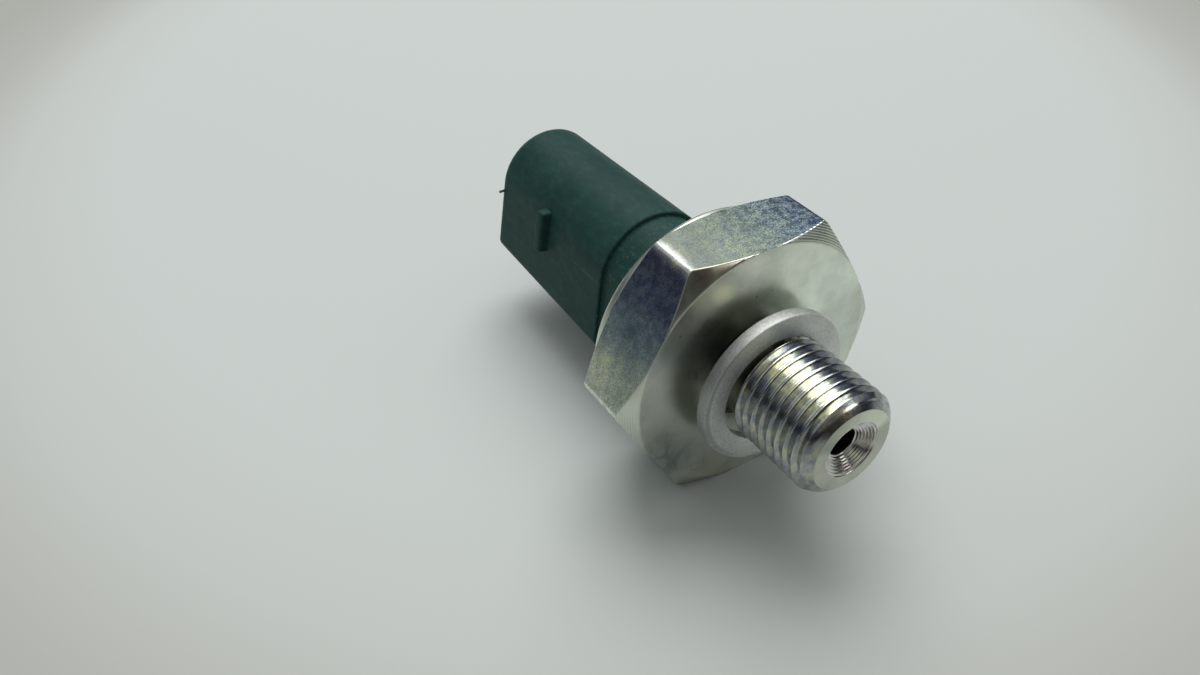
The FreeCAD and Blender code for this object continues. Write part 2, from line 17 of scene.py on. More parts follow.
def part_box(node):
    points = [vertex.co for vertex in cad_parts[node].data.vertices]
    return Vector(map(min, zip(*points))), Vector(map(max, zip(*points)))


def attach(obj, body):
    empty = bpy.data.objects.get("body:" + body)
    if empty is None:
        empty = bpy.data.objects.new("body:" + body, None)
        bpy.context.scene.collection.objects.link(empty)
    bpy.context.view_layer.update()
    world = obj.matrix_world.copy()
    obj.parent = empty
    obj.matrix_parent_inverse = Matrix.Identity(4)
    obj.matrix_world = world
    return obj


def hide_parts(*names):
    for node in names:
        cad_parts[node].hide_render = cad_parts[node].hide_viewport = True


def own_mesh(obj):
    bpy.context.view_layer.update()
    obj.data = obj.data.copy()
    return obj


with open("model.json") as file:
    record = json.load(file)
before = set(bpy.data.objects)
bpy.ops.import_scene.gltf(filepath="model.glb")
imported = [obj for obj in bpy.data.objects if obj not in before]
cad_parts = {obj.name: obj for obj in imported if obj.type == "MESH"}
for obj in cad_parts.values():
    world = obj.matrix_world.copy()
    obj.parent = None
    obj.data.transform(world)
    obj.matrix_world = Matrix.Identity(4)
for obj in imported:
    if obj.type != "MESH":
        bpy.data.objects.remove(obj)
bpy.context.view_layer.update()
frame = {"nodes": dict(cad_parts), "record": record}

# %% [markdown]
# Sizes come first. Everything is placed in metres in the model's own frame: the thread's axis is
# Y, the thread points to -Y, the connector opens to +Y, and Z is up. Sizes that the model already
# knows are read from it, so that a new piece lands on the old one. The others are the drawing
# sizes of the real switch, written in millimetres.

# %% Sizes read from the model
MM = 0.001
MERGE_WITHIN = 1e-7


def millimetres(node):
    """A node's lowest and highest corner, in millimetres."""
    low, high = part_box(node)
    return [c / MM for c in low], [c / MM for c in high]


mounts = {m["name"]: m for m in frame["record"]["mounts"]}
thread_r = mounts["thread"]["dims"]["r_mm"]
body_low, body_high = millimetres("hex_body")
housing_low, housing_high = millimetres("connector_housing")
washer_low, washer_high = millimetres("sealing_washer")
insert_low, insert_high = millimetres("threaded_insert")
blade_low, blade_high = millimetres("terminal_blade")

tip_y = body_low[1]
rim_y = body_high[1]
flat_r = body_high[2]
mouth_y = housing_high[1]
plate_top_y = housing_low[1]
print(f"thread radius {thread_r} mm, hexagon {2 * flat_r:.1f} mm across flats")
print(f"steel from y {tip_y:.2f} to {rim_y:.2f} mm, connector's mouth at y {mouth_y:.2f} mm")

# %% [markdown]
# A few helpers save repeating the same clicks. An operator in Blender works on whatever is
# selected, so each piece starts from an empty selection. A turned piece could be built from a
# cylinder and many extrusions, but a lathe works from one outline, and so does the spin tool:
# a point is extruded along the outline and the outline is spun round the axis.

# %% Helpers for starting and finishing a mesh
def clear_selection():
    """Leaves edit mode and deselects everything."""
    if bpy.context.object and bpy.context.object.mode != "OBJECT":
        bpy.ops.object.mode_set(mode="OBJECT")
    bpy.ops.object.select_all(action="DESELECT")


def select_only(piece):
    """Makes one object the selected and active one."""
    clear_selection()
    piece.select_set(True)
    bpy.context.view_layer.objects.active = piece


def edit(piece):
    """Opens a piece in edit mode with nothing selected."""
    select_only(piece)
    bpy.ops.object.mode_set(mode="EDIT")
    bpy.ops.mesh.select_mode(type="VERT")
    bpy.ops.mesh.select_all(action="DESELECT")


def close_edit(piece, merge=True):
    """Merges doubles if asked to, turns the faces outwards and leaves edit mode."""
    bpy.ops.mesh.select_all(action="SELECT")
    if merge:
        bpy.ops.mesh.remove_doubles(threshold=MERGE_WITHIN)
    bpy.ops.mesh.normals_make_consistent(inside=False)
    bpy.ops.object.mode_set(mode="OBJECT")
    return piece


def bevel_edges(piece, wanted, width, steps, clamp=True):
    """Rounds the edges that a test picks. The width is in millimetres."""
    edit(piece)
    bpy.ops.mesh.select_mode(type="EDGE")
    mesh = bmesh.from_edit_mesh(piece.data)
    picked = [e for e in mesh.edges if wanted(e)]
    for e in picked:
        e.select_set(True)
    bpy.ops.mesh.bevel(offset=width * MM, segments=steps, profile=0.5, clamp_overlap=clamp)
    bpy.ops.mesh.select_mode(type="VERT")
    close_edit(piece)
    print(f"{piece.name}: {len(picked)} edges rounded by {width:.2f} mm")


def apply_place(piece):
    """Moves an object's place, turn and scale into its mesh."""
    select_only(piece)
    bpy.ops.object.transform_apply(location=True, rotation=True, scale=True)


def named(name):
    """Gives the active object its name."""
    piece = bpy.context.object
    piece.name = name
    piece.data.name = name
    return piece


def open_edges(piece):
    """How many edges don't have exactly two faces. A closed mesh has none."""
    mesh = bmesh.new()
    mesh.from_mesh(piece.data)
    count = sum(1 for e in mesh.edges if len(e.link_faces) != 2)
    mesh.free()
    return count


def report(piece):
    """Prints what a finished mesh is made of."""
    mesh = piece.data
    mesh.calc_loop_triangles()
    print(f"{piece.name}: {len(mesh.loop_triangles)} triangles, open edges {open_edges(piece)}")


# %% Helpers for turned pieces
ROUND_STEPS = 160
AXIS = (0, 1, 0)


def draw_outline(name, points, closed=True):
    """Draws an outline of (radius, y) points in millimetres by extruding one point along it."""
    clear_selection()
    bpy.ops.mesh.primitive_plane_add(size=MM, location=(0, 0, 0))
    piece = named(name)
    bpy.ops.object.mode_set(mode="EDIT")
    bpy.ops.mesh.select_all(action="SELECT")
    bpy.ops.mesh.merge(type="CENTER")
    start = Vector((points[0][0], points[0][1], 0)) * MM
    bpy.ops.transform.translate(value=start)
    for (r0, y0), (r1, y1) in zip(points, points[1:]):
        step = Vector((r1 - r0, y1 - y0, 0)) * MM
        bpy.ops.mesh.extrude_region_move(TRANSFORM_OT_translate={"value": step})
    if closed:
        mesh = bmesh.from_edit_mesh(piece.data)
        mesh.verts.ensure_lookup_table()
        for v in mesh.verts:
            v.select = v.index in (0, len(mesh.verts) - 1)
        mesh.select_flush(True)
        bpy.ops.mesh.edge_face_add()
    return piece


def turned(name, points, steps=ROUND_STEPS):
    """Spins a closed outline round the Y axis into a solid."""
    piece = draw_outline(name, points)
    bpy.ops.mesh.select_all(action="SELECT")
    bpy.ops.mesh.spin(steps=steps, angle=2 * math.pi, center=(0, 0, 0), axis=AXIS)
    return close_edit(piece)


def rounded(corners, bends=5):
    """Rounds an outline's corners. Each corner is (radius, y) or (radius, y, rounding)."""
    outline = []
    count = len(corners)
    for i, corner in enumerate(corners):
        here = Vector(corner[:2])
        if len(corner) < 3:
            outline.append(tuple(here))
            continue
        before = (Vector(corners[i - 1][:2]) - here).normalized()
        after = (Vector(corners[(i + 1) % count][:2]) - here).normalized()
        half = before.angle(after) / 2
        centre = here + (before + after).normalized() * corner[2] / math.sin(half)
        start = here + before * corner[2] / math.tan(half) - centre
        end = here + after * corner[2] / math.tan(half) - centre
        sweep = start.angle_signed(end)
        for k in range(bends + 1):
            turn = Matrix.Rotation(-sweep * k / bends, 2)
            outline.append(tuple(centre + turn @ start))
    return outline


# %% Helpers for cutting and joining
def combine(piece, other, how):
    """Cuts, joins or intersects a piece with another, which is used up."""
    select_only(piece)
    tool = piece.modifiers.new(how.lower(), "BOOLEAN")
    tool.operation = how
    tool.solver = "EXACT"
    tool.object = other
    bpy.ops.object.modifier_apply(modifier=tool.name)
    bpy.data.objects.remove(other)
    return piece


def block(name, size, middle, turn=0.0):
    """A block of a size at a place, in millimetres, turned round Y by an angle in radians."""
    clear_selection()
    bpy.ops.mesh.primitive_cube_add(
        size=MM, scale=size, location=Vector(middle) * MM, rotation=(0, turn, 0))
    piece = named(name)
    apply_place(piece)
    return piece


def soften(piece, width, steps):
    """Bevels every edge of a block by a width in millimetres."""
    bpy.ops.object.mode_set(mode="EDIT")
    bpy.ops.mesh.select_all(action="SELECT")
    bpy.ops.mesh.bevel(offset=width * MM, segments=steps, profile=0.5)
    bpy.ops.object.mode_set(mode="OBJECT")
    return piece


def smooth(piece, degrees, flat_faces=False):
    """Shades smooth over every edge flatter than an angle. Large flat faces can be kept flat."""
    select_only(piece)
    bpy.ops.object.shade_smooth_by_angle(angle=math.radians(degrees))
    if flat_faces:
        weighted = piece.modifiers.new("weighted", "WEIGHTED_NORMAL")
        weighted.keep_sharp = True
        bpy.ops.object.modifier_apply(modifier=weighted.name)


# %% [markdown]
# The steel body is one turned and milled bar. On a lathe it starts round, so here it does too: its
# whole section is spun, with the oil port, the pressure chamber and the rolled rim, and then a
# hexagon bar is intersected with it. The chamfers on the hexagon's ends come out as the curved
# edges that a real nut has, because a cone meets a flat there.

# %% Section of the steel body
TIP_CHAMFER = 1.1
TIP_BULGE = 0.47
RELIEF_R = 4.2
THREAD_END_Y = -0.5
RELIEF_START_Y = 0.2
PORT_R = 1.3
PORT_MOUTH_R = 2.7
PORT_MOUTH_DEPTH = 1.1
PORT_RIDGES = 7
PORT_RIDGE_HEIGHT = 0.1
HEX_FRONT_Y = 3.0
HEX_BACK_Y = 10.0
HEX_CHAMFER_ANGLE = 30
HEX_ROUND = 0.6
HEX_EDGE_SOFTNESS = 0.1
FRONT_PAST_FLATS = 0.05
BACK_INSIDE_FLATS = 0.2
BLANK_SPARE = 0.5
SEAT_Y = 5.4
CHAMBER_Y = 4.9
GROOVE_Y = 4.6
CHAMBER_R = 6.4
GROOVE_INNER_R = 7.0
GROOVE_OUTER_R = 8.8
CAVITY_R = 10.2
RIM_R = 11.5
LIP_R = 9.0
LIP_THICKNESS = 0.6

corner_r = flat_r / math.cos(math.radians(30))
blank_r = corner_r + BLANK_SPARE
chamfer_slope = math.tan(math.radians(HEX_CHAMFER_ANGLE))
front_r = flat_r + FRONT_PAST_FLATS
back_r = flat_r - BACK_INSIDE_FLATS
lip_y = rim_y - LIP_THICKNESS


def port_ridges():
    """The drill's turned ridges in the port's mouth, from the bottom of the cone to the tip."""
    foot = Vector((PORT_R, tip_y + PORT_MOUTH_DEPTH))
    head = Vector((PORT_MOUTH_R, tip_y))
    across = (head - foot).orthogonal().normalized() * PORT_RIDGE_HEIGHT / 2
    points = []
    steps = 2 * PORT_RIDGES
    for k in range(1, steps):
        side = 1 if k % 2 else -1
        points.append(tuple(foot.lerp(head, k / steps) + across * side))
    return points


steel_section = rounded([
    (PORT_MOUTH_R, tip_y, 0.12),
    (thread_r - TIP_CHAMFER, tip_y, 0.2),
    (thread_r - TIP_BULGE, tip_y + TIP_BULGE, 1.2),
    (thread_r, tip_y + TIP_CHAMFER, 0.25),
    (thread_r, THREAD_END_Y),
    (RELIEF_R, RELIEF_START_Y),
    (RELIEF_R, HEX_FRONT_Y, 0.4),
    (front_r, HEX_FRONT_Y, 0.5),
    (blank_r, HEX_FRONT_Y + (blank_r - front_r) * chamfer_slope),
    (blank_r, HEX_BACK_Y - (blank_r - back_r) * chamfer_slope),
    (back_r, HEX_BACK_Y, 0.15),
    (RIM_R, HEX_BACK_Y, 0.12),
    (RIM_R, rim_y, 0.6),
    (LIP_R, rim_y, 0.15),
    (LIP_R, lip_y, 0.1),
    (CAVITY_R, lip_y),
    (CAVITY_R, SEAT_Y),
    (GROOVE_OUTER_R, SEAT_Y),
    (GROOVE_OUTER_R, GROOVE_Y),
    (GROOVE_INNER_R, GROOVE_Y),
    (GROOVE_INNER_R, SEAT_Y),
    (CHAMBER_R, SEAT_Y),
    (CHAMBER_R, CHAMBER_Y),
    (PORT_R, CHAMBER_Y),
    (PORT_R, tip_y + PORT_MOUTH_DEPTH, 0.1),
] + port_ridges())
steel = turned("steel_body", steel_section)
report(steel)

# %% [markdown]
# The hexagon bar is a cylinder with six sides. Its long edges are rolled round, so they get a
# bevel before the bar is intersected with the turned blank. The bar is longer than the steel, so
# that only its six flats cut.

# %% Mill the hexagon
clear_selection()
bpy.ops.mesh.primitive_cylinder_add(
    vertices=6,
    radius=corner_r * MM,
    depth=4 * mouth_y * MM,
    rotation=(math.pi / 2, math.pi / 6, 0),
)
bar = named("hexagon_bar")
apply_place(bar)


def is_long_edge(edge):
    """True for the bar's six long edges."""
    return abs(edge.verts[0].co.y - edge.verts[1].co.y) > mouth_y * MM


bevel_edges(bar, is_long_edge, HEX_ROUND * math.tan(math.radians(30)), 4)
combine(steel, bar, "INTERSECT")
report(steel)

# %% [markdown]
# A machined edge is never quite sharp, and the thin line of light along the hexagon's curved
# edges comes from that. Only the edges where a flat meets a chamfer are bevelled here. They are
# found by their place, far from the axis, and by the turn between their two faces.

# %% Soften the hexagon's curved edges
NEAR = 0.02
FLAT_LEAN = 0.05
CHAMFER_LEAN = 0.3


def is_hexagon_edge(edge):
    """True where a flat meets one of the two chamfers."""
    if len(edge.link_faces) != 2:
        return False
    middle = (edge.verts[0].co + edge.verts[1].co) / 2 / MM
    if math.hypot(middle.x, middle.z) < front_r - NEAR:
        return False
    leans = sorted(abs(f.normal.y) for f in edge.link_faces)
    return leans[0] < FLAT_LEAN and leans[1] > CHAMFER_LEAN


bevel_edges(steel, is_hexagon_edge, HEX_EDGE_SOFTNESS, 2, clamp=False)
report(steel)

# %% [markdown]
# The thread is M10 with a pitch of one millimetre. A texture could fake it, but its crests show
# against the background and throw real highlights, so it is cut. One turn's outline, with a
# rounded crest and root, goes through the Screw modifier and becomes a threaded rod. The rod is
# taken out of a plain sleeve, and the sleeve then cuts the stub as a die would.

# %% Outline of one turn
PITCH = 1.0
THREAD_DEPTH = 0.61
CREST = 0.16
CREST_FALL = 0.015
ROOT = 0.24
ROOT_RISE = 0.01
BEND_DEPTH = 0.09
BEND_LENGTH = 0.07
THREAD_TURNS = 12
THREAD_STEPS = 120
THREAD_START_Y = -10.6
SLEEVE_END_Y = 0.75
SLEEVE_WALL = 1.2
SLEEVE_PAST_TIP = 0.3
ROD_PAST_TIP = 0.4
ROD_PAST_SLEEVE = 0.2


def one_turn():
    """The thread's outline over one pitch, from root to root, as (radius, y)."""
    root_r = thread_r - THREAD_DEPTH
    flank = (PITCH - CREST - ROOT) / 2
    y = THREAD_START_Y
    rise = y + ROOT / 2
    fall = y + PITCH - ROOT / 2
    return [
        (root_r, y),
        (root_r + ROOT_RISE, rise),
        (root_r + BEND_DEPTH, rise + BEND_LENGTH),
        (thread_r - BEND_DEPTH, rise + flank - BEND_LENGTH),
        (thread_r - CREST_FALL, rise + flank),
        (thread_r, y + PITCH / 2),
        (thread_r - CREST_FALL, fall - flank),
        (thread_r - BEND_DEPTH, fall - flank + BEND_LENGTH),
        (root_r + BEND_DEPTH, fall - BEND_LENGTH),
        (root_r + ROOT_RISE, fall),
        (root_r, y + PITCH),
    ]


rod = draw_outline("threaded_rod", one_turn(), closed=False)
bpy.ops.object.mode_set(mode="OBJECT")
screw = rod.modifiers.new("screw", "SCREW")
screw.axis = "Y"
screw.screw_offset = PITCH * MM
screw.iterations = THREAD_TURNS
screw.steps = THREAD_STEPS
screw.render_steps = THREAD_STEPS
screw.use_merge_vertices = True
screw.merge_threshold = MERGE_WITHIN
select_only(rod)
bpy.ops.object.modifier_apply(modifier=screw.name)
print("rod:", len(rod.data.vertices), "points")

# %% Close the rod's ends
edit(rod)
for end_y, side in ((tip_y - ROD_PAST_TIP, -1), (SLEEVE_END_Y + ROD_PAST_SLEEVE, 1)):
    bpy.ops.mesh.select_all(action="SELECT")
    bpy.ops.mesh.bisect(
        plane_co=(0, end_y * MM, 0),
        plane_no=(0, side, 0),
        use_fill=True,
        clear_outer=True,
        threshold=1e-8,
    )
close_edit(rod)
report(rod)

# %% Cut the thread
clear_selection()
bpy.ops.mesh.primitive_cylinder_add(
    vertices=ROUND_STEPS,
    radius=(thread_r + SLEEVE_WALL) * MM,
    depth=(SLEEVE_END_Y - tip_y + SLEEVE_PAST_TIP) * MM,
    location=(0, (SLEEVE_END_Y + tip_y - SLEEVE_PAST_TIP) / 2 * MM, 0),
    rotation=(math.pi / 2, 0, 0),
)
sleeve = named("die")
apply_place(sleeve)
combine(sleeve, rod, "DIFFERENCE")
report(sleeve)
combine(steel, sleeve, "DIFFERENCE")
report(steel)
smooth(steel, 28, flat_faces=True)

# %% [markdown]
# The washer is soft aluminium, stamped flat with a crisp rim. It hangs loose behind the thread, a
# little off the axis, held on by three small nibs. Its middle and its thickness are read from the
# model, the ring is spun, and the nibs are small cubes joined to it.

# %% Turn the washer
WASHER_BORE_R = 5.15
WASHER_ROUND = 0.12
NIBS = 3
NIB_INNER_R = 4.58
NIB_ROOT = 0.5
NIB_WIDTH = 1.5
NIB_THICKNESS = 0.4
NIB_SETBACK = 0.02
NIB_ROUND = 0.06
NIB_FIRST_ANGLE = 83

washer_r = (washer_high[0] - washer_low[0]) / 2
washer_x = (washer_high[0] + washer_low[0]) / 2
washer_z = (washer_high[2] + washer_low[2]) / 2
washer_back = washer_high[1]
washer = turned("washer", rounded([
    (WASHER_BORE_R, 0, 0.12),
    (washer_r, 0, WASHER_ROUND),
    (washer_r, washer_back, WASHER_ROUND),
    (WASHER_BORE_R, washer_back, 0.2),
]))
nib_reach = WASHER_BORE_R + NIB_ROOT - NIB_INNER_R
nib_r = NIB_INNER_R + nib_reach / 2
nib_y = washer_back - NIB_THICKNESS / 2 - NIB_SETBACK
for k in range(NIBS):
    angle = math.radians(NIB_FIRST_ANGLE + 360 / NIBS * k)
    middle = (nib_r * math.cos(angle), nib_y, nib_r * math.sin(angle))
    nib = block("nib", (nib_reach, NIB_THICKNESS, NIB_WIDTH), middle, -angle)
    combine(washer, soften(nib, NIB_ROUND, 2), "UNION")
washer.location = Vector((washer_x, 0, washer_z)) * MM
apply_place(washer)
smooth(washer, 40, flat_faces=True)
report(washer)

# %% [markdown]
# The connector housing is injection moulded. Its section is an arch: a big arc above, sides that
# splay down, and two small corner arcs. It could be a bevelled box, but the section changes along
# its length because a moulding needs draft to leave its mould. So the arch is drawn as a ring of
# points, and that ring is extruded from station to station, each time on to the next outline.

# %% The arch outline
FLANGE_Y = 9.22
COLLAR_INSET = 0.45
SHROUD_LENGTH = 20.6
CORNER_R = 1.1
SHROUD_WALL = 1.25
SOCKET_TAPER = 0.2
SOCKET_DEPTH = 13.0
SOCKET_CORNER_R = 0.6
LEAD_IN = 0.4
STEP_ROUND = 0.22
STEP_FILLET = 0.08
STEP_FILLET_LENGTH = 0.1
MOUTH_ROUND = 0.3
COLLAR_SINK = 0.2
RIB_MARGIN = 0.5
MOUTH_MARGIN = 1.2
LEAD_IN_ROUND = 0.08
LEAD_IN_ROUND_LENGTH = 0.06
LEAD_IN_FOOT = 0.02
LEAD_IN_FOOT_LENGTH = 0.2
RIB_SETBACK = 10.32
RIB_THICKNESS = 1.05
ARCH_POINTS = {"arc": 80, "side": 6, "corner": 10, "bottom": 8}

shroud_y = mouth_y - SHROUD_LENGTH
rib_y = mouth_y - RIB_SETBACK
base_arch = (6.1, 0.95, 6.8, 6.1)
mouth_arch = (5.45, 1.4, 6.5, 5.7)


def arch_at(y, inset=0.0):
    """The shroud's section at a place: top radius, top centre, half width and depth."""
    share = (y - shroud_y) / SHROUD_LENGTH
    top_r, top_z, half_width, depth = (a + (b - a) * share for a, b in zip(base_arch, mouth_arch))
    return top_r - inset, top_z, half_width - inset, depth - inset


def arch_outline(arch, corner):
    """Points round an arch as (x, z), always as many, starting in the middle of the bottom."""
    top_r, top_z, half_width, depth = arch
    low_x = half_width - corner
    low_z = corner - depth
    span = math.hypot(low_x, low_z - top_z)
    lean = math.atan2(low_z - top_z, low_x) + math.acos((top_r - corner) / span)
    right = []
    for k in range(ARCH_POINTS["bottom"]):
        right.append((low_x * k / ARCH_POINTS["bottom"], -depth))
    for k in range(ARCH_POINTS["corner"]):
        a = -math.pi / 2 + (lean + math.pi / 2) * k / ARCH_POINTS["corner"]
        right.append((low_x + corner * math.cos(a), low_z + corner * math.sin(a)))
    foot = Vector((low_x + corner * math.cos(lean), low_z + corner * math.sin(lean)))
    head = Vector((top_r * math.cos(lean), top_z + top_r * math.sin(lean)))
    for k in range(ARCH_POINTS["side"]):
        right.append(tuple(foot.lerp(head, k / ARCH_POINTS["side"])))
    half_arc = ARCH_POINTS["arc"] // 2
    for k in range(half_arc + 1):
        a = lean + (math.pi / 2 - lean) * k / half_arc
        right.append((top_r * math.cos(a), top_z + top_r * math.sin(a)))
    left = [(-x, z) for x, z in reversed(right[1:-1])]
    return right + left


# %% Pull the outline from station to station
def ring_of(outline, y):
    """An outline's points in space, in metres."""
    return [Vector((x, y, z)) * MM for x, z in outline]


def start_ring(name, ring):
    """A filled ring: a circle with as many points, moved on to the outline."""
    clear_selection()
    bpy.ops.mesh.primitive_circle_add(vertices=len(ring), radius=MM, fill_type="NGON")
    piece = named(name)
    for v, place in zip(piece.data.vertices, ring):
        v.co = place
    bpy.ops.object.mode_set(mode="EDIT")
    bpy.ops.mesh.select_all(action="SELECT")
    return piece


def pull_ring(piece, old_ring, new_ring):
    """Extrudes the selected end face and moves its points on to the next ring."""
    bpy.ops.mesh.extrude_region_move()
    mesh = bmesh.from_edit_mesh(piece.data)
    for v in [v for v in mesh.verts if v.select]:
        nearest = min(range(len(old_ring)), key=lambda i: (old_ring[i] - v.co).length_squared)
        v.co = new_ring[nearest]
    bmesh.update_edit_mesh(piece.data)


def quarter(radius, steps=4):
    """Small steps round a quarter circle: (distance in from the side, distance along)."""
    turns = [math.pi / 2 * k / steps for k in range(steps + 1)]
    return [(radius * (1 - math.sin(a)), radius * (1 - math.cos(a))) for a in turns]


def shroud_stations():
    """Every ring of the shroud, from inside the flange, out to the mouth and in to the floor.

    Rings just before and behind the rib keep the marks of joining it short.
    """
    rings = []
    collar = arch_at(shroud_y, COLLAR_INSET)
    for y in (FLANGE_Y + COLLAR_SINK, shroud_y - STEP_FILLET_LENGTH):
        rings.append(ring_of(arch_outline(collar, CORNER_R - COLLAR_INSET), y))
    wide = arch_at(shroud_y, COLLAR_INSET - STEP_FILLET)
    rings.append(ring_of(arch_outline(wide, CORNER_R - COLLAR_INSET + STEP_FILLET), shroud_y))
    for inward, along in quarter(STEP_ROUND):
        arch = arch_at(shroud_y + along, inward)
        rings.append(ring_of(arch_outline(arch, CORNER_R - inward), shroud_y + along))
    for y in (rib_y - RIB_MARGIN, rib_y + RIB_THICKNESS + RIB_MARGIN, mouth_y - MOUTH_MARGIN):
        rings.append(ring_of(arch_outline(arch_at(y), CORNER_R), y))
    for inward, along in reversed(quarter(MOUTH_ROUND)):
        arch = arch_at(mouth_y - along, inward)
        rings.append(ring_of(arch_outline(arch, CORNER_R - inward), mouth_y - along))
    lead = SHROUD_WALL - LEAD_IN
    lead_corner = SOCKET_CORNER_R + LEAD_IN
    lead_foot_y = mouth_y - LEAD_IN
    for inset, y, corner in (
            (lead - LEAD_IN_ROUND, mouth_y, lead_corner),
            (lead, mouth_y - LEAD_IN_ROUND_LENGTH, lead_corner),
            (SHROUD_WALL, lead_foot_y, SOCKET_CORNER_R),
            (SHROUD_WALL + LEAD_IN_FOOT, lead_foot_y - LEAD_IN_FOOT_LENGTH, SOCKET_CORNER_R),
            (SHROUD_WALL + SOCKET_TAPER, mouth_y - SOCKET_DEPTH, SOCKET_CORNER_R)):
        rings.append(ring_of(arch_outline(arch_at(mouth_y, inset), corner), y))
    return rings


rings = shroud_stations()
housing = start_ring("moulded_housing", rings[0])
for old, new in zip(rings, rings[1:]):
    pull_ring(housing, old, new)
close_edit(housing, merge=False)
print("stations:", len(rings))
report(housing)

# %% [markdown]
# Under the shroud the moulding is round again: a flange that the steel rim is rolled over, and a
# skirt that reaches down to the contact plate. Both are turned and joined on. What the mould's
# pins leave open is cut last: the space for the moving contact, the spring's well, the seat of the
# brass insert and the slot of the terminal.

# %% Join the flange and cut the inside
PLATE_R = 10.1
SKIRT_R = 9.1
SKIRT_BORE_R = 5.6
HEADROOM_Y = 10.53
SPRING_WELL_R = 3.5
INSERT_R = 2.3
INSERT_FLANGE_R = 3.0
INSERT_FLANGE = 0.8
SCREW_WELL_R = 1.9
TERMINAL_THICKNESS = 0.8
CUT_SPARE = 0.5
INSIDE_STEPS = 64

flange = turned("flange", rounded([
    (0, plate_top_y),
    (SKIRT_R, plate_top_y, 0.2),
    (SKIRT_R, FLANGE_Y),
    (PLATE_R, FLANGE_Y, 0.1),
    (PLATE_R, lip_y, 0.1),
    (0, lip_y),
]))
combine(housing, flange, "UNION")
socket_floor_y = mouth_y - SOCKET_DEPTH
insert_foot_y = insert_low[1] + INSERT_FLANGE
inside = turned("inside", [
    (0, plate_top_y - CUT_SPARE),
    (SKIRT_BORE_R, plate_top_y - CUT_SPARE),
    (SKIRT_BORE_R, HEADROOM_Y),
    (SPRING_WELL_R, HEADROOM_Y),
    (SPRING_WELL_R, insert_low[1]),
    (INSERT_FLANGE_R, insert_low[1]),
    (INSERT_FLANGE_R, insert_foot_y),
    (INSERT_R, insert_foot_y),
    (INSERT_R, insert_high[1]),
    (SCREW_WELL_R, insert_high[1]),
    (SCREW_WELL_R, socket_floor_y + CUT_SPARE),
    (0, socket_floor_y + CUT_SPARE),
], steps=INSIDE_STEPS)
combine(housing, inside, "DIFFERENCE")
slot_length = socket_floor_y + CUT_SPARE - insert_foot_y
slot_size = (blade_high[0] - blade_low[0], slot_length, TERMINAL_THICKNESS)
slot_middle = (0, insert_foot_y + slot_length / 2, blade_low[2] + TERMINAL_THICKNESS / 2)
combine(housing, block("terminal_slot", slot_size, slot_middle), "DIFFERENCE")
report(housing)

# %% [markdown]
# An upright rib stands on the shroud's left side, and a plug's latch drops behind it. It is a
# plain moulded rib with well rounded edges, so a bevelled cube does for it, sunk into the wall and
# leaning as the wall leans there. The tiny nib on the mouth's left edge is flash, a bit of plastic
# squeezed out where the mould closes.

# %% Latch rib and flash
RIB_REACH = 6.75
RIB_HEIGHT = 4.4
RIB_CENTRE_Z = 1.45
RIB_ROOT_X = 4.6
RIB_ROUND = 0.3
RIB_LEAN = 9
RIB_SPREAD = 0.15
FLASH_SETBACK = (0.40, 0.14)
FLASH_X = (-6.15, -5.2)
FLASH_Z = (1.22, 1.44)
FLASH_ROUND = 0.06


def soft_block(name, low, high, softness, lean=0.0):
    """A block with softened edges, between two corners in millimetres, turned by a lean."""
    size = [b - a for a, b in zip(low, high)]
    middle = [(a + b) / 2 for a, b in zip(low, high)]
    return soften(block(name, size, middle, math.radians(lean)), softness, 3)


rib_low = (-RIB_REACH, rib_y, RIB_CENTRE_Z - RIB_HEIGHT / 2)
rib_high = (-RIB_ROOT_X, rib_y + RIB_THICKNESS + RIB_SPREAD, RIB_CENTRE_Z + RIB_HEIGHT / 2)
combine(housing, soft_block("rib", rib_low, rib_high, RIB_ROUND, RIB_LEAN), "UNION")
flash_low = (FLASH_X[0], mouth_y - FLASH_SETBACK[0], FLASH_Z[0])
flash_high = (FLASH_X[1], mouth_y - FLASH_SETBACK[1], FLASH_Z[1])
combine(housing, soft_block("flash", flash_low, flash_high, FLASH_ROUND), "UNION")
smooth(housing, 32, flat_faces=True)
report(housing)

# %% [markdown]
# Materials. Zinc plating is a metal, so its look is mostly what it reflects, and the rest is a
# thin passivated film whose thickness shows as blue, violet, green and yellow. Each finish is
# built from noise on the object's own coordinates, so it stays on the piece from every side and
# has a real scale: a noise scale of 1000 makes features of about one millimetre. Ramps turn noise,
# or a place on the piece, into colours, and the numbers in them were matched to the photograph.

# %% Helpers for materials
def new_material(name):
    """An empty material, its nodes, its shader and the coordinates of the piece that wears it."""
    material = bpy.data.materials.new(name)
    material.use_nodes = True
    tree = material.node_tree
    tree.nodes.clear()
    shader = tree.nodes.new("ShaderNodeBsdfPrincipled")
    output = tree.nodes.new("ShaderNodeOutputMaterial")
    tree.links.new(shader.outputs["BSDF"], output.inputs["Surface"])
    place = tree.nodes.new("ShaderNodeTexCoord").outputs["Object"]
    return material, tree, shader, place


def noise(tree, place, scale, detail=3.0, roughness=0.55, stretch=(1, 1, 1), shift=(0, 0, 0)):
    """Noise with features of about 1000 / scale millimetres."""
    mapping = tree.nodes.new("ShaderNodeMapping")
    mapping.inputs["Scale"].default_value = stretch
    mapping.inputs["Location"].default_value = shift
    tree.links.new(place, mapping.inputs["Vector"])
    texture = tree.nodes.new("ShaderNodeTexNoise")
    texture.inputs["Scale"].default_value = scale
    texture.inputs["Detail"].default_value = detail
    texture.inputs["Roughness"].default_value = roughness
    tree.links.new(mapping.outputs["Vector"], texture.inputs["Vector"])
    return texture.outputs["Fac"]


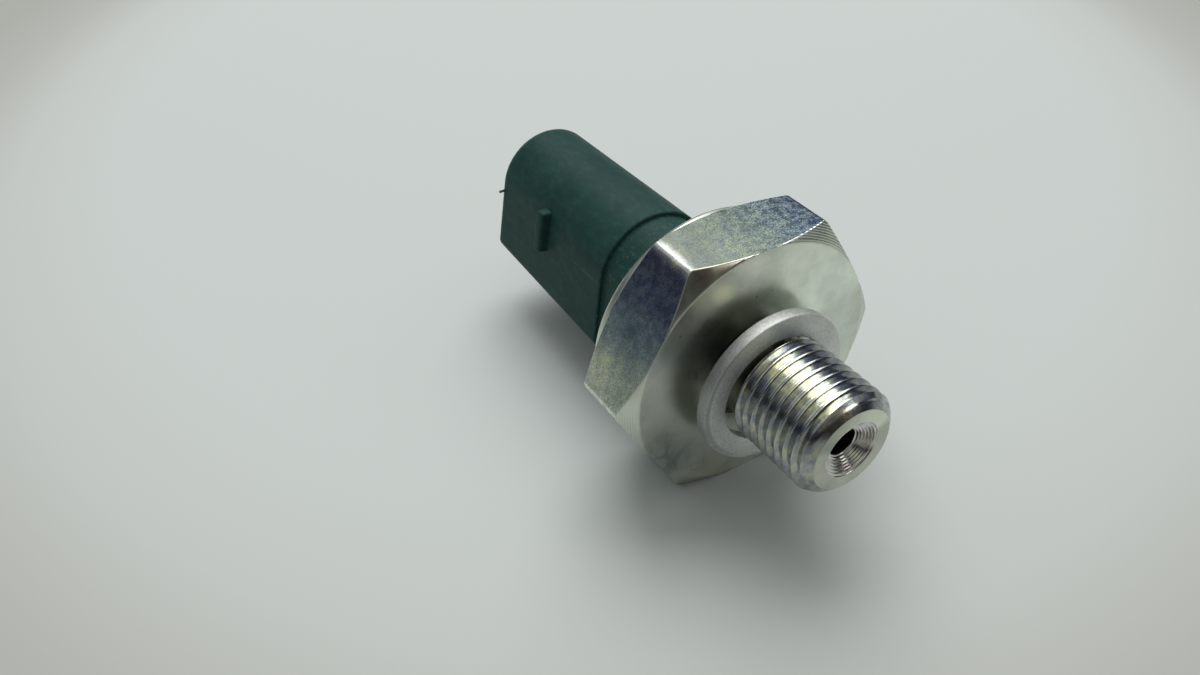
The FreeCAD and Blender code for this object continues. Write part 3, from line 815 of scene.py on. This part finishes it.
def ramp(tree, value, stops, smooth_steps=True):
    """Turns a value into colours. Each stop is (position, (r, g, b)) or (position, grey)."""
    node = tree.nodes.new("ShaderNodeValToRGB")
    node.color_ramp.interpolation = "EASE" if smooth_steps else "LINEAR"
    elements = node.color_ramp.elements
    while len(elements) < len(stops):
        elements.new(0.5)
    for element, (position, colour) in zip(elements, stops):
        element.position = position
        element.color = (*colour, 1) if isinstance(colour, tuple) else (colour, colour, colour, 1)
    tree.links.new(value, node.inputs["Fac"])
    return node.outputs["Color"]


def blend_colours(tree, share, first, second, how="MIX"):
    """Mixes two colours, each a socket or plain numbers, by a share."""
    node = tree.nodes.new("ShaderNodeMix")
    node.data_type = "RGBA"
    node.blend_type = how
    sockets = {"Factor": node.inputs[0], "A": node.inputs[6], "B": node.inputs[7]}
    for key, value in (("Factor", share), ("A", first), ("B", second)):
        if isinstance(value, bpy.types.NodeSocket):
            tree.links.new(value, sockets[key])
        elif isinstance(value, (int, float)):
            sockets[key].default_value = value
        else:
            sockets[key].default_value = (*value, 1)
    return node.outputs[2]


def tinted(tree, colour, tint, share=1.0):
    """A colour multiplied by another, as far as a share says."""
    return blend_colours(tree, share, colour, tint, "MULTIPLY")


def calculate(tree, how, first, second=0.0, third=0.0):
    """One step of arithmetic on sockets or numbers."""
    node = tree.nodes.new("ShaderNodeMath")
    node.operation = how
    for socket, value in zip(node.inputs, (first, second, third)):
        if isinstance(value, bpy.types.NodeSocket):
            tree.links.new(value, socket)
        else:
            socket.default_value = value
    return node.outputs[0]


def multiply(tree, *values):
    """The product of sockets and numbers."""
    product = values[0]
    for value in values[1:]:
        product = calculate(tree, "MULTIPLY", product, value)
    return product


def dress(tree, shader, colour, texture, rough, rough_gain, metallic=0.0):
    """Joins a colour to the shader, and a roughness that rises with a texture."""
    roughness = calculate(tree, "MULTIPLY_ADD", texture, rough_gain, rough)
    tree.links.new(colour, shader.inputs["Base Color"])
    tree.links.new(roughness, shader.inputs["Roughness"])
    shader.inputs["Metallic"].default_value = metallic


def bump(tree, shader, height, depth_mm, strength):
    """Raises the surface by a height of 0 to 1, times a depth in millimetres."""
    node = tree.nodes.new("ShaderNodeBump")
    node.inputs["Strength"].default_value = strength
    node.inputs["Distance"].default_value = depth_mm * MM
    tree.links.new(height, node.inputs["Height"])
    tree.links.new(node.outputs["Normal"], shader.inputs["Normal"])


def cells(tree, place, scale, feature="F1"):
    """Voronoi cells of about 1000 / scale millimetres: the distance from their middle or edge."""
    texture = tree.nodes.new("ShaderNodeTexVoronoi")
    texture.feature = feature
    texture.inputs["Scale"].default_value = scale
    tree.links.new(place, texture.inputs["Vector"])
    return texture.outputs["Distance"]


def polar(tree, place):
    """A place's distance from the thread's axis in millimetres, its turn round the axis from 0
    to 1, and how far along the axis it is in metres."""
    parts = tree.nodes.new("ShaderNodeSeparateXYZ")
    tree.links.new(place, parts.inputs["Vector"])
    x = parts.outputs["X"]
    z = parts.outputs["Z"]
    squares = calculate(tree, "ADD", multiply(tree, x, x), multiply(tree, z, z))
    radius = multiply(tree, calculate(tree, "SQRT", squares), 1 / MM)
    angle = calculate(tree, "ARCTAN2", z, x)
    turn = calculate(tree, "MULTIPLY_ADD", angle, 1 / (2 * math.pi), 0.5)
    return radius, turn, parts.outputs["Y"]


# %% [markdown]
# The hexagon's flats are drawn bar: the plating lies on a slightly rough skin, so it sparkles in
# small specks. The passivated film on it is thick in some places and thin in others. It goes from
# dark violet through blue-grey to pale yellow-green, and a ramp round the axis gives its colour.
# The same ramp also paints light. The darkness beside two of the corners is partly the film and
# partly a painted dark reflection, and a narrow pale stripe along one corner is a painted
# highlight. Noise of several sizes breaks it up: soft patches and tints, mottles that are
# strongest at one corner, and fine specks.

# %% Plated flats
FILM_DRIFT = 0.03
FILM_AND_PAINTED_LIGHT_ROUND_AXIS = [
    (0.000, (0.75, 0.80, 0.68)),
    (0.100, (0.42, 0.48, 0.43)),
    (0.600, (0.36, 0.42, 0.42)),
    (0.665, (0.07, 0.085, 0.13)),
    (0.695, (0.12, 0.155, 0.175)),
    (0.735, (0.135, 0.165, 0.155)),
    (0.780, (0.165, 0.195, 0.17)),
    (0.826, (0.20, 0.215, 0.185)),
    (0.830, (0.60, 0.62, 0.58)),
    (0.837, (0.60, 0.62, 0.58)),
    (0.841, (0.11, 0.12, 0.18)),
    (0.880, (0.15, 0.18, 0.26)),
    (0.930, (0.25, 0.32, 0.36)),
    (0.970, (0.58, 0.64, 0.54)),
    (1.000, (0.75, 0.80, 0.68)),
]


def plated_flats():
    """Zinc on drawn bar, with specks of interference colour."""
    material, tree, shader, place = new_material("zinc_on_drawn_bar")
    turn = polar(tree, place)[1]
    clouds = noise(tree, place, 420, 4.0, 0.6)
    middle = calculate(tree, "SUBTRACT", turn, FILM_DRIFT / 2)
    shifted = calculate(tree, "MULTIPLY_ADD", clouds, FILM_DRIFT, middle)
    # The film's colours with painted light: the pale stripe at one corner is a painted highlight,
    # and the darkness beside two corners is partly the film and partly a painted dark reflection.
    film = ramp(tree, turn, FILM_AND_PAINTED_LIGHT_ROUND_AXIS, smooth_steps=False)
    drifted_film_and_light = ramp(tree, shifted, FILM_AND_PAINTED_LIGHT_ROUND_AXIS, smooth_steps=False)
    colour = blend_colours(tree, 0.55, film, drifted_film_and_light)
    tints = ramp(tree, noise(tree, place, 900, 3.0, 0.6, shift=(5, 2, 9)), [
        (0.38, (0.93, 0.96, 1.03)),
        (0.50, 1.0),
        (0.62, (1.05, 1.05, 0.95)),
    ])
    colour = tinted(tree, colour, tints)
    mottles = ramp(tree, noise(tree, place, 1500, 3.0, 0.6, shift=(1, 7, 4)), [
        (0.42, (0.30, 0.35, 0.50)),
        (0.52, 1.0),
        (0.62, (1.25, 1.25, 1.20)),
    ])
    near_corner = ramp(tree, turn, [
        (0.60, 0.3),
        (0.665, 1.0),
        (0.74, 0.45),
        (0.80, 0.15),
        (0.83, 0.15),
        (0.86, 0.5),
        (0.95, 0.25),
    ])
    patches = ramp(tree, noise(tree, place, 330, 3.0, 0.55, shift=(2, 3, 8)), [
        (0.38, (0.82, 0.84, 0.86)),
        (0.50, 1.0),
        (0.60, (1.14, 1.13, 1.06)),
    ])
    colour = tinted(tree, colour, patches)
    colour = blend_colours(tree, near_corner, colour, tinted(tree, colour, mottles))
    fine = noise(tree, place, 7600, 3.0, 0.75)
    specks = ramp(tree, fine, [
        (0.37, (0.34, 0.36, 0.40)),
        (0.47, (0.80, 0.82, 0.84)),
        (0.54, (1.06, 1.08, 1.02)),
        (0.64, (2.6, 2.6, 2.4)),
    ])
    speckled = ramp(tree, turn, [
        (0.62, 0.8),
        (0.69, 0.95),
        (0.76, 0.5),
        (0.82, 0.22),
        (0.86, 0.34),
    ])
    colour = tinted(tree, colour, specks, speckled)
    dress(tree, shader, colour, fine, 0.16, 0.3, 1.0)
    bump(tree, shader, noise(tree, place, 4200, 3.0, 0.7), 0.01, 0.6)
    return material


flats_finish = plated_flats()
print("flats:", flats_finish.name, "with", len(FILM_AND_PAINTED_LIGHT_ROUND_AXIS), "film colours round the axis")

# %% [markdown]
# The faces that a lathe made are smoother and milky. Fine rings run round the axis on the chamfer
# of one corner, and the next corner's chamfer is browned. There are a few pits, a yellow spot and
# a web of stains low on the left. The relief behind the thread is painted dark, as painted shade.
# A ramp round the axis paints the faces brighter on the upper right and darker on the upper left,
# as painted reflection and shade. The rings are a wave on the distance from the axis, pushed about
# a little by noise so that they look cut and not printed.

# %% Plated turned faces
WIDEST_R = 14
RELIEF_SHADE_R = 4.95
RELIEF_SHADE_FROM_Y = -1.2
RING_RADIANS_PER_MM = 33.0
RING_WANDER = 1.2
YELLOW_SPOT = (-4.2, 3.0, 9.5)
YELLOW_REACH = 1.5
STAINED_PLACE = (-9.3, 3.0, -6.4)
STAINED_REACH = 3.9
STAIN_BEND = 3
FACE_PAINTED_LIGHT_ROUND_AXIS = [
    (0.000, (0.85, 0.85, 0.84)),
    (0.050, 0.82),
    (0.125, 0.84),
    (0.300, 0.90),
    (0.545, 0.82),
    (0.594, (1.18, 1.20, 1.20)),
    (0.660, (1.12, 1.14, 1.12)),
    (0.760, (1.00, 1.00, 0.98)),
    (0.850, (0.76, 0.76, 0.74)),
    (0.917, (0.58, 0.60, 0.62)),
    (0.960, (0.82, 0.82, 0.81)),
    (1.000, (0.85, 0.85, 0.84)),
]


def spot(tree, place, middle, reach):
    """1 at a point on the piece, fading to 0 at a reach, both in millimetres."""
    distance = tree.nodes.new("ShaderNodeVectorMath")
    distance.operation = "DISTANCE"
    tree.links.new(place, distance.inputs[0])
    distance.inputs[1].default_value = Vector(middle) * MM
    near = multiply(tree, distance.outputs["Value"], 1 / (reach * MM))
    return ramp(tree, near, [(0.25, 1), (1.0, 0)])


def bent(tree, place, scale, reach):
    """Coordinates pushed about by noise, by up to a reach in millimetres."""
    waves = tree.nodes.new("ShaderNodeTexNoise")
    waves.inputs["Scale"].default_value = scale
    tree.links.new(place, waves.inputs["Vector"])
    pushed = tree.nodes.new("ShaderNodeVectorMath")
    pushed.operation = "MULTIPLY_ADD"
    tree.links.new(waves.outputs["Color"], pushed.inputs[0])
    pushed.inputs[1].default_value = Vector((reach, reach, reach)) * MM
    tree.links.new(place, pushed.inputs[2])
    return pushed.outputs["Vector"]


def plated_turned():
    """Zinc on turned steel, with fine rings, clouds and small pits."""
    material, tree, shader, place = new_material("zinc_on_turned_steel")
    radius, turn, along = polar(tree, place)
    outwards = multiply(tree, radius, 1 / WIDEST_R)
    haze = noise(tree, place, 380, 2.0, 0.5, shift=(3, 1, 2))
    colour = ramp(tree, noise(tree, place, 160, 4.0, 0.6), [
        (0.34, (0.66, 0.70, 0.63)),
        (0.46, (0.77, 0.81, 0.73)),
        (0.56, (0.83, 0.88, 0.80)),
        (0.68, (0.83, 0.85, 0.71)),
    ])
    stains = ramp(tree, haze, [(0.34, (0.72, 0.72, 0.68)), (0.52, 1)])
    colour = tinted(tree, colour, stains, 0.3)
    # Painted shade: the relief behind the thread is painted dark where it lies deep in shade.
    relief_painted_shade = multiply(tree, calculate(tree, "LESS_THAN", radius, RELIEF_SHADE_R),
                         calculate(tree, "GREATER_THAN", along, RELIEF_SHADE_FROM_Y * MM))
    colour = blend_colours(tree, relief_painted_shade, colour, (0.20, 0.20, 0.18))
    # Painted reflection and shade: the turned faces are painted brighter on the upper right and
    # darker on the upper left.
    colour = tinted(tree, colour, ramp(tree, turn, FACE_PAINTED_LIGHT_ROUND_AXIS))
    tip = ramp(tree, outwards, [(0.36, (0.78, 0.78, 0.74)), (0.40, 1)])
    colour = tinted(tree, colour, tip)
    pits = ramp(tree, cells(tree, place, 520), [(0.045, (0.25, 0.24, 0.22)), (0.075, 1)])
    colour = tinted(tree, colour, pits, 0.55)
    yellow = spot(tree, place, YELLOW_SPOT, YELLOW_REACH)
    colour = blend_colours(tree, yellow, colour, (0.88, 0.89, 0.66))
    edges = cells(tree, bent(tree, place, 480, STAIN_BEND), 430, "DISTANCE_TO_EDGE")
    web = ramp(tree, edges, [(0.02, (0.56, 0.58, 0.60)), (0.16, (0.76, 0.79, 0.80))])
    stained = spot(tree, place, STAINED_PLACE, STAINED_REACH)
    colour = blend_colours(tree, stained, colour, tinted(tree, colour, web))

    wave = multiply(tree, radius, RING_RADIANS_PER_MM)
    rings = calculate(tree, "SINE", calculate(tree, "MULTIPLY_ADD", haze, RING_WANDER, wave))
    ridges = calculate(tree, "MULTIPLY_ADD", rings, 0.5, 0.5)
    on_chamfer = ramp(tree, outwards, [(0.84, 0.02), (0.90, 1.0)])
    worn = ramp(tree, turn, [(0.52, 0.25), (0.60, 1.0), (0.70, 1.0), (0.75, 0.06)])
    outer = multiply(tree, on_chamfer, worn)
    bump(tree, shader, multiply(tree, ridges, outer), 0.03, 0.9)
    grooves = ramp(tree, ridges, [(0.1, (0.42, 0.44, 0.47)), (0.6, 1.0)])
    colour = blend_colours(tree, outer, colour, tinted(tree, colour, grooves))
    beside_corner = ramp(tree, turn, [(0.755, 0), (0.785, 1), (0.828, 1), (0.845, 0)])
    browned = multiply(tree, on_chamfer, beside_corner)
    brown = tinted(tree, colour, (0.64, 0.58, 0.52))
    colour = blend_colours(tree, browned, colour, brown)
    dress(tree, shader, colour, haze, 0.20, 0.2, 1.0)
    return material


turned_finish = plated_turned()
print("turned faces:", turned_finish.name)

# %% [markdown]
# The thread and the tip are rolled and bright, and the port's ridges brighter still. Both are the
# same plating with less film, so they share one recipe with other numbers. A ramp round the axis
# paints light on them: a painted highlight on the upper left, with painted dark reflection in
# bands beside it.

# %% Bright plated thread and port
def plated_bright(name, dark, pale, warm, rough):
    """Zinc on the thread, the tip or the port."""
    material, tree, shader, place = new_material(name)
    turn = polar(tree, place)[1]
    streaks = noise(tree, place, 1100, 3.0, 0.6, stretch=(1, 2, 1))
    colour = ramp(tree, streaks, [(0.36, dark), (0.50, pale), (0.62, warm)])
    # Painted light: a bright band on the upper left is a painted highlight, and the darker blue
    # bands beside it are painted dark reflection.
    film_and_painted_highlight = ramp(tree, turn, [
        (0.600, (0.92, 0.93, 0.96)),
        (0.680, (0.82, 0.85, 0.95)),
        (0.710, (0.62, 0.67, 0.84)),
        (0.760, (1.22, 1.22, 1.18)),
        (0.800, (1.38, 1.36, 1.17)),
        (0.850, (1.26, 1.24, 1.11)),
        (0.890, (0.74, 0.77, 0.84)),
        (0.960, (0.76, 0.79, 0.84)),
        (1.000, (0.92, 0.93, 0.96)),
    ])
    fine = noise(tree, place, 2400, 3.0, 0.6)
    dress(tree, shader, tinted(tree, colour, film_and_painted_highlight), fine, rough, 0.16, 1.0)
    bump(tree, shader, fine, 0.012, 0.6)
    return material


thread_finish = plated_bright(
    "zinc_on_thread", (0.32, 0.34, 0.38), (0.46, 0.48, 0.46), (0.60, 0.59, 0.47), 0.10)
port_finish = plated_bright(
    "zinc_in_port", (0.52, 0.48, 0.45), (0.67, 0.66, 0.61), (0.74, 0.72, 0.67), 0.08)
print("bright zinc:", thread_finish.name, "and", port_finish.name)

# %% Lay the finishes on the steel
TURNED, FLAT, THREAD, PORT = range(4)
PAST_THREAD = 0.1
INSIDE_FLAT = 0.05
FLAT_FACE_LEAN = 0.2


def wear(piece, *finishes):
    """Gives a piece its finishes and takes off those that it had."""
    piece.data.materials.clear()
    for finish in finishes:
        piece.data.materials.append(finish)


def steel_finish(face):
    """Which finish a face of the steel body has, by its place and the way it points."""
    middle = face.center / MM
    r = math.hypot(middle.x, middle.z)
    if r < PORT_MOUTH_R + NEAR and middle.y < CHAMBER_Y:
        return PORT
    if middle.y < tip_y + NEAR:
        return TURNED
    if middle.y < RELIEF_START_Y and r < thread_r + PAST_THREAD:
        return THREAD
    if r > flat_r - INSIDE_FLAT and abs(face.normal.y) < FLAT_FACE_LEAN:
        return FLAT
    return TURNED


wear(steel, turned_finish, flats_finish, thread_finish, port_finish)
counts = [0] * len(steel.data.materials)
for face in steel.data.polygons:
    face.material_index = steel_finish(face)
    counts[face.material_index] += 1
print("faces turned, flat, thread, port:", counts)

# %% [markdown]
# Old soft aluminium isn't bright: a thin oxide makes it matte and even, almost like grey paint,
# with a fine grain and tiny dents. A mostly metallic shader with a high roughness gives that. Its
# rim is darker on the left, where a ramp round the axis darkens it: painted shade, for the
# shadowed table that the rim reflects there.

# %% Washer aluminium
def washer_metal():
    """Dull aluminium with a fine grain, and a rim darkened on its left by painted shade."""
    material, tree, shader, place = new_material("dull_aluminium")
    radius, turn, _ = polar(tree, place)
    grain = noise(tree, place, 3800, 4.0, 0.7)
    clouds = noise(tree, place, 260, 3.0)
    colour = ramp(tree, clouds, [(0.35, (0.64, 0.66, 0.64)), (0.62, (0.74, 0.76, 0.73))])
    dents = ramp(tree, grain, [(0.38, 0.80), (0.50, 1), (0.64, (1.12, 1.12, 1.10))])
    colour = tinted(tree, colour, dents, 0.8)
    rim = ramp(tree, multiply(tree, radius, 0.1), [(0.70, 0), (0.725, 1)])
    # Painted shade: the rim is darkened on its left, for the shadowed table that it reflects
    # there.
    left = ramp(tree, turn, [
        (0.00, (0.60, 0.61, 0.62)),
        (0.10, (0.72, 0.73, 0.74)),
        (0.20, 1),
        (0.78, 1),
        (0.90, (0.62, 0.63, 0.64)),
        (1.00, (0.60, 0.61, 0.62)),
    ])
    colour = blend_colours(tree, rim, colour, tinted(tree, colour, left))
    dress(tree, shader, colour, grain, 0.42, 0.2, 0.85)
    bump(tree, shader, grain, 0.02, 0.6)
    return material


wear(washer, washer_metal())
print("washer:", washer.data.materials[0].name)

# %% [markdown]
# The housing is glass-filled nylon in a dark blue-green. Its mould was spark-eroded, which leaves
# a fine even grain and a dull sheen, and handling has left pale scuffs, most of them on the collar
# just behind the steel. The scuffs are fine bright specks that a mask keeps near the collar. The
# edge of the mouth gets a paler, greener line all round, a painted highlight along its rounded
# edge. The thin flash gets a painted glow for the light that shines through it. One fine scratch
# runs along the left side, drawn by the distance from a line.

# %% Moulded plastic
SCRATCH_START = (28.2, 0.98)
SCRATCH_END = (18.9, 1.32)
SCRATCH_WIDTH = 0.09
FLASH_GLOW_SPOT = (-6.1, mouth_y - 0.27, 1.33)
FLASH_GLOW_REACH = 0.6


def scratch(tree, place):
    """1 on a fine straight scratch on the shroud's left side, between two (y, z) places."""
    parts = tree.nodes.new("ShaderNodeSeparateXYZ")
    tree.links.new(place, parts.inputs["Vector"])
    (y0, z0), (y1, z1) = SCRATCH_START, SCRATCH_END
    slope = (z1 - z0) / (y1 - y0)
    line = calculate(tree, "MULTIPLY_ADD", parts.outputs["Y"], slope, (z0 - slope * y0) * MM)
    away = calculate(tree, "ABSOLUTE", calculate(tree, "SUBTRACT", parts.outputs["Z"], line))
    thin = calculate(tree, "LESS_THAN", away, SCRATCH_WIDTH / 2 * MM)
    middle = calculate(tree, "SUBTRACT", parts.outputs["Y"], (y0 + y1) / 2 * MM)
    along = calculate(tree, "LESS_THAN", calculate(tree, "ABSOLUTE", middle), (y0 - y1) / 2 * MM)
    left = calculate(tree, "LESS_THAN", parts.outputs["X"], 0.0)
    worn = ramp(tree, noise(tree, place, 700, 2.0), [(0.42, 0.1), (0.58, 0.9)])
    return multiply(tree, thin, along, left, worn)


def moulded_plastic():
    """Dark green nylon with a spark-eroded grain and pale scuffs on the collar."""
    material, tree, shader, place = new_material("green_nylon")
    along = polar(tree, place)[2]
    grain = noise(tree, place, 6500, 2.0, 0.6)
    clouds = noise(tree, place, 190, 3.0)
    colour = ramp(tree, clouds, [(0.3, (0.015, 0.052, 0.044)), (0.7, (0.020, 0.064, 0.055))])
    rubs = ramp(tree, noise(tree, place, 1300, 4.0, 0.65, stretch=(1, 0.5, 1)), [
        (0.40, 0.90),
        (0.52, 1),
        (0.64, (1.22, 1.18, 1.18)),
    ])
    colour = tinted(tree, colour, rubs)
    scuffs = ramp(tree, noise(tree, place, 4200, 4.0, 0.8, stretch=(1, 0.5, 0.7)), [
        (0.57, 0),
        (0.66, 1),
    ])
    reach = multiply(tree, along, 1 / (mouth_y * MM))
    near_collar = ramp(tree, reach, [(0.40, 0.65), (0.47, 0.4), (0.49, 0.10), (0.60, 0.05)])
    share = multiply(tree, scuffs, near_collar)
    colour = blend_colours(tree, share, colour, (0.15, 0.25, 0.21))
    # Painted highlight: a paler, greener line all round the mouth's rounded edge.
    painted_mouth_highlight = ramp(tree, reach, [(0.986, 0), (0.993, 0.8)])
    colour = blend_colours(tree, painted_mouth_highlight, colour, (0.035, 0.125, 0.100))
    colour = blend_colours(tree, scratch(tree, place), colour, (0.07, 0.13, 0.11))
    # Painted light: the flash is painted paler, for the light that shines through the thin
    # plastic.
    flash_painted_glow = spot(tree, place, FLASH_GLOW_SPOT, FLASH_GLOW_REACH)
    colour = blend_colours(tree, flash_painted_glow, colour, (0.10, 0.18, 0.16))
    dress(tree, shader, colour, clouds, 0.44, 0.14)
    shader.inputs["Specular IOR Level"].default_value = 0.11
    bump(tree, shader, grain, 0.012, 0.6)
    return material


wear(housing, moulded_plastic())
print("housing:", housing.data.materials[0].name)

# %% [markdown]
# The inner pieces hardly show, but a reader of the model may open it, so each has its own finish:
# brass, tinned brass, steel, rubber, film, resin and natural nylon. They keep their CAD meshes.

# %% Inner finishes
def plain_finish(name, pale, dark, metallic, rough, scale=900, depth_mm=0.01):
    """A finish from two close colours, with a little roughness and relief from noise."""
    material, tree, shader, place = new_material(name)
    texture = noise(tree, place, scale, 4.0, 0.6)
    colour = ramp(tree, texture, [(0.35, dark), (0.65, pale)])
    dress(tree, shader, colour, texture, rough, 0.2, metallic)
    bump(tree, shader, texture, depth_mm, 0.5)
    return material


brass = plain_finish("turned_brass", (0.78, 0.58, 0.27), (0.62, 0.43, 0.17), 1.0, 0.2)
tinned = plain_finish("tinned_brass", (0.72, 0.71, 0.67), (0.56, 0.55, 0.51), 1.0, 0.28, 1400)
steel_plain = plain_finish("stamped_steel", (0.58, 0.58, 0.57), (0.42, 0.42, 0.41), 1.0, 0.25)
spring_wire = plain_finish("drawn_wire", (0.5, 0.5, 0.49), (0.35, 0.35, 0.34), 1.0, 0.2, 2500)
rubber = plain_finish(
    "black_rubber", (0.028, 0.028, 0.028), (0.014, 0.014, 0.014), 0.0, 0.55, 1500)
film = plain_finish("amber_film", (0.52, 0.21, 0.03), (0.44, 0.16, 0.02), 0.0, 0.15, 400, 0.003)
resin = plain_finish("black_resin", (0.02, 0.02, 0.02), (0.01, 0.01, 0.01), 0.0, 0.1, 300, 0.02)
nylon = plain_finish("natural_nylon", (0.78, 0.76, 0.7), (0.7, 0.68, 0.61), 0.0, 0.4, 3000)
INNER_SMOOTH = 30
INNER = {
    "diaphragm_seal": rubber,
    "housing_seal": rubber,
    "diaphragm_film_oil_side": film,
    "diaphragm_film_dry_side": film,
    "contact_plate": steel_plain,
    "plunger": nylon,
    "contact_disc": brass,
    "spring_cap": brass,
    "adjusting_screw": brass,
    "threaded_insert": brass,
    "terminal_blade": tinned,
    "sealing_compound": resin,
}
for node, finish in INNER.items():
    piece = frame["nodes"][node]
    wear(piece, finish)
    smooth(piece, INNER_SMOOTH)
print("inner pieces finished:", len(INNER))

# %% [markdown]
# The calibration spring has a fixed end on its cap and a free end on the moving contact, so it
# gets shorter when the oil's pressure lifts the contact. A new spring could be spun with the Screw
# modifier, but the model's is already right, ground ends included, so a copy of its mesh is taken
# and its loose triangles are merged.

# %% Spring
spring_mesh = frame["nodes"]["calibration_spring"].data.copy()
spring = bpy.data.objects.new("compression_spring", spring_mesh)
bpy.context.collection.objects.link(spring)
edit(spring)
close_edit(spring)
wear(spring, spring_wire)
smooth(spring, INNER_SMOOTH)
report(spring)

# %% [markdown]
# Each new piece is tied to the CAD body that carries it and takes the place of its plain solid.

# %% Tie the pieces to the model
for piece, node, slot in ((steel, "hex_body", "zinc_plated_steel"),
                          (washer, "sealing_washer", "washer_aluminium"),
                          (housing, "connector_housing", "green_plastic"),
                          (spring, "calibration_spring", "spring_steel")):
    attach(piece, "body")
    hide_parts(node)
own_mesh(spring)
print("tied to body, with plunger_slide squashing:", spring.name)

# %% [markdown]
# The stage is a pale table under soft light, as in a small photo tent. Metal shows its
# surroundings, so the world matters as much as the lamps: it is bright overhead and dark just
# above the horizon, which gives the plating its deep edges. The table's colour makes the pale
# background. A painted pool of light on it is brightest round the switch and darkens away from it,
# for the camera and in the steel's reflections alike, while the light that it scatters stays even.
# One large softbox hangs overhead and a little behind. A small bright card at the front right only
# puts a highlight on the steel's edges, so it is hidden from the diffuse light.

# %% Table
TABLE_COLOUR = (0.605, 0.64, 0.62)
TABLE_SIZE = 3.0
LIGHT_POOL_MIDDLE = (38, 87)
LIGHT_POOL_TURN = -31.3
LIGHT_POOL_REACH = (0.263, 0.342)


def seen_directly(tree):
    """1 for what the camera sees, also in a mirror or through glass, and 0 for scattered light."""
    path = tree.nodes.new("ShaderNodeLightPath").outputs
    bounced = calculate(tree, "MAXIMUM", path["Is Glossy Ray"], path["Is Transmission Ray"])
    return calculate(tree, "MAXIMUM", path["Is Camera Ray"], bounced)


def table_finish():
    """Matte pale table top with a painted pool of light that darkens away from the switch."""
    material, tree, shader, place = new_material("pale_table")
    around = tree.nodes.new("ShaderNodeMapping")
    around.vector_type = "TEXTURE"
    around.inputs["Location"].default_value = Vector((*LIGHT_POOL_MIDDLE, body_low[2])) * MM
    around.inputs["Rotation"].default_value = (0, 0, math.radians(LIGHT_POOL_TURN))
    around.inputs["Scale"].default_value = (*LIGHT_POOL_REACH, 1.0)
    tree.links.new(place, around.inputs["Vector"])
    distance = tree.nodes.new("ShaderNodeVectorMath")
    distance.operation = "LENGTH"
    tree.links.new(around.outputs["Vector"], distance.inputs[0])
    # Painted pool of light: brightest round the switch, darker further away.
    colour = ramp(tree, distance.outputs["Value"], [
        (0.28, (0.632, 0.669, 0.648)),
        (0.33, (0.600, 0.622, 0.593)),
        (0.37, (0.500, 0.512, 0.478)),
        (0.42, (0.440, 0.447, 0.410)),
    ], smooth_steps=False)
    colour = blend_colours(tree, seen_directly(tree), TABLE_COLOUR, colour)
    dress(tree, shader, colour, noise(tree, place, 60, 2.0), 0.55, 0.1)
    shader.inputs["Specular IOR Level"].default_value = 0.2
    return material


clear_selection()
bpy.ops.mesh.primitive_plane_add(size=TABLE_SIZE, location=(0, 0, body_low[2] * MM))
table = named("table")
apply_place(table)
table.data.materials.append(table_finish())
print(f"table {TABLE_SIZE} m wide, its top at z {body_low[2]:.2f} mm")

# %% World
world = bpy.data.worlds.new("tent")
bpy.context.scene.world = world
world.use_nodes = True
tree = world.node_tree
sky = tree.nodes["Background"]
direction = tree.nodes.new("ShaderNodeTexCoord").outputs["Generated"]
parts = tree.nodes.new("ShaderNodeSeparateXYZ")
tree.links.new(direction, parts.inputs["Vector"])
sky_colour = ramp(tree, parts.outputs["Z"], [
    (0.0, (0.52, 0.54, 0.51)),
    (0.05, (0.24, 0.25, 0.25)),
    (0.10, (0.05, 0.055, 0.07)),
    (0.20, (0.05, 0.055, 0.075)),
    (0.56, (0.44, 0.46, 0.46)),
    (1.0, (0.66, 0.68, 0.67)),
])
from_front = calculate(tree, "MULTIPLY_ADD", parts.outputs["Y"], 0.5, 0.5)
room = ramp(tree, from_front, [(0.12, (0.30, 0.27, 0.25)), (0.42, 1.0)])
tree.links.new(tinted(tree, sky_colour, room), sky.inputs["Color"])
print("world:", world.name)

# %% Lamps
def softbox(name, place, aim, size, power):
    """A square area lamp, placed and aimed in millimetres."""
    lamp = bpy.data.lights.new(name, "AREA")
    lamp.shape = "SQUARE"
    lamp.size = size * MM
    lamp.energy = power
    holder = bpy.data.objects.new(name, lamp)
    bpy.context.collection.objects.link(holder)
    holder.location = Vector(place) * MM
    holder.rotation_euler = (Vector(aim) - Vector(place)).to_track_quat("-Z", "Y").to_euler()
    return holder


softbox("overhead_softbox", (320, 540, 1030), (0, 10, 0), 1000, 10.0)
card = softbox("front_card", (430, -720, 560), (0, 0, 0), 330, 1.0)
card.visible_diffuse = False

# %% [markdown]
# The camera stands where the photographer stood: above the threaded end and to its left, close
# enough for the stub to look large. Its place and its lens were worked out from the hexagon's
# corners and the thread in the photograph.

# %% Camera
CAMERA_PLACE = Vector((-46.093, -46.908, 56.584))
CAMERA_AIM = Vector((-9.539, 13.141, 0.389))
CAMERA_ROLL = math.radians(-0.596)
LENS = 30.265
SENSOR_WIDTH = 36.0

camera = bpy.data.objects.new("camera", bpy.data.cameras.new("camera"))
bpy.context.collection.objects.link(camera)
camera.data.sensor_width = SENSOR_WIDTH
camera.data.lens = LENS
camera.data.clip_start = 0.001
camera.location = CAMERA_PLACE * MM
look = (CAMERA_AIM - CAMERA_PLACE).to_track_quat("-Z", "Y")
camera.rotation_euler = (look.to_matrix() @ Matrix.Rotation(CAMERA_ROLL, 3, "Z")).to_euler()
bpy.context.scene.camera = camera
bpy.context.scene.view_settings.view_transform = "Standard"
print(f"lens {LENS} mm, {(CAMERA_AIM - CAMERA_PLACE).length:.0f} mm from what it looks at")
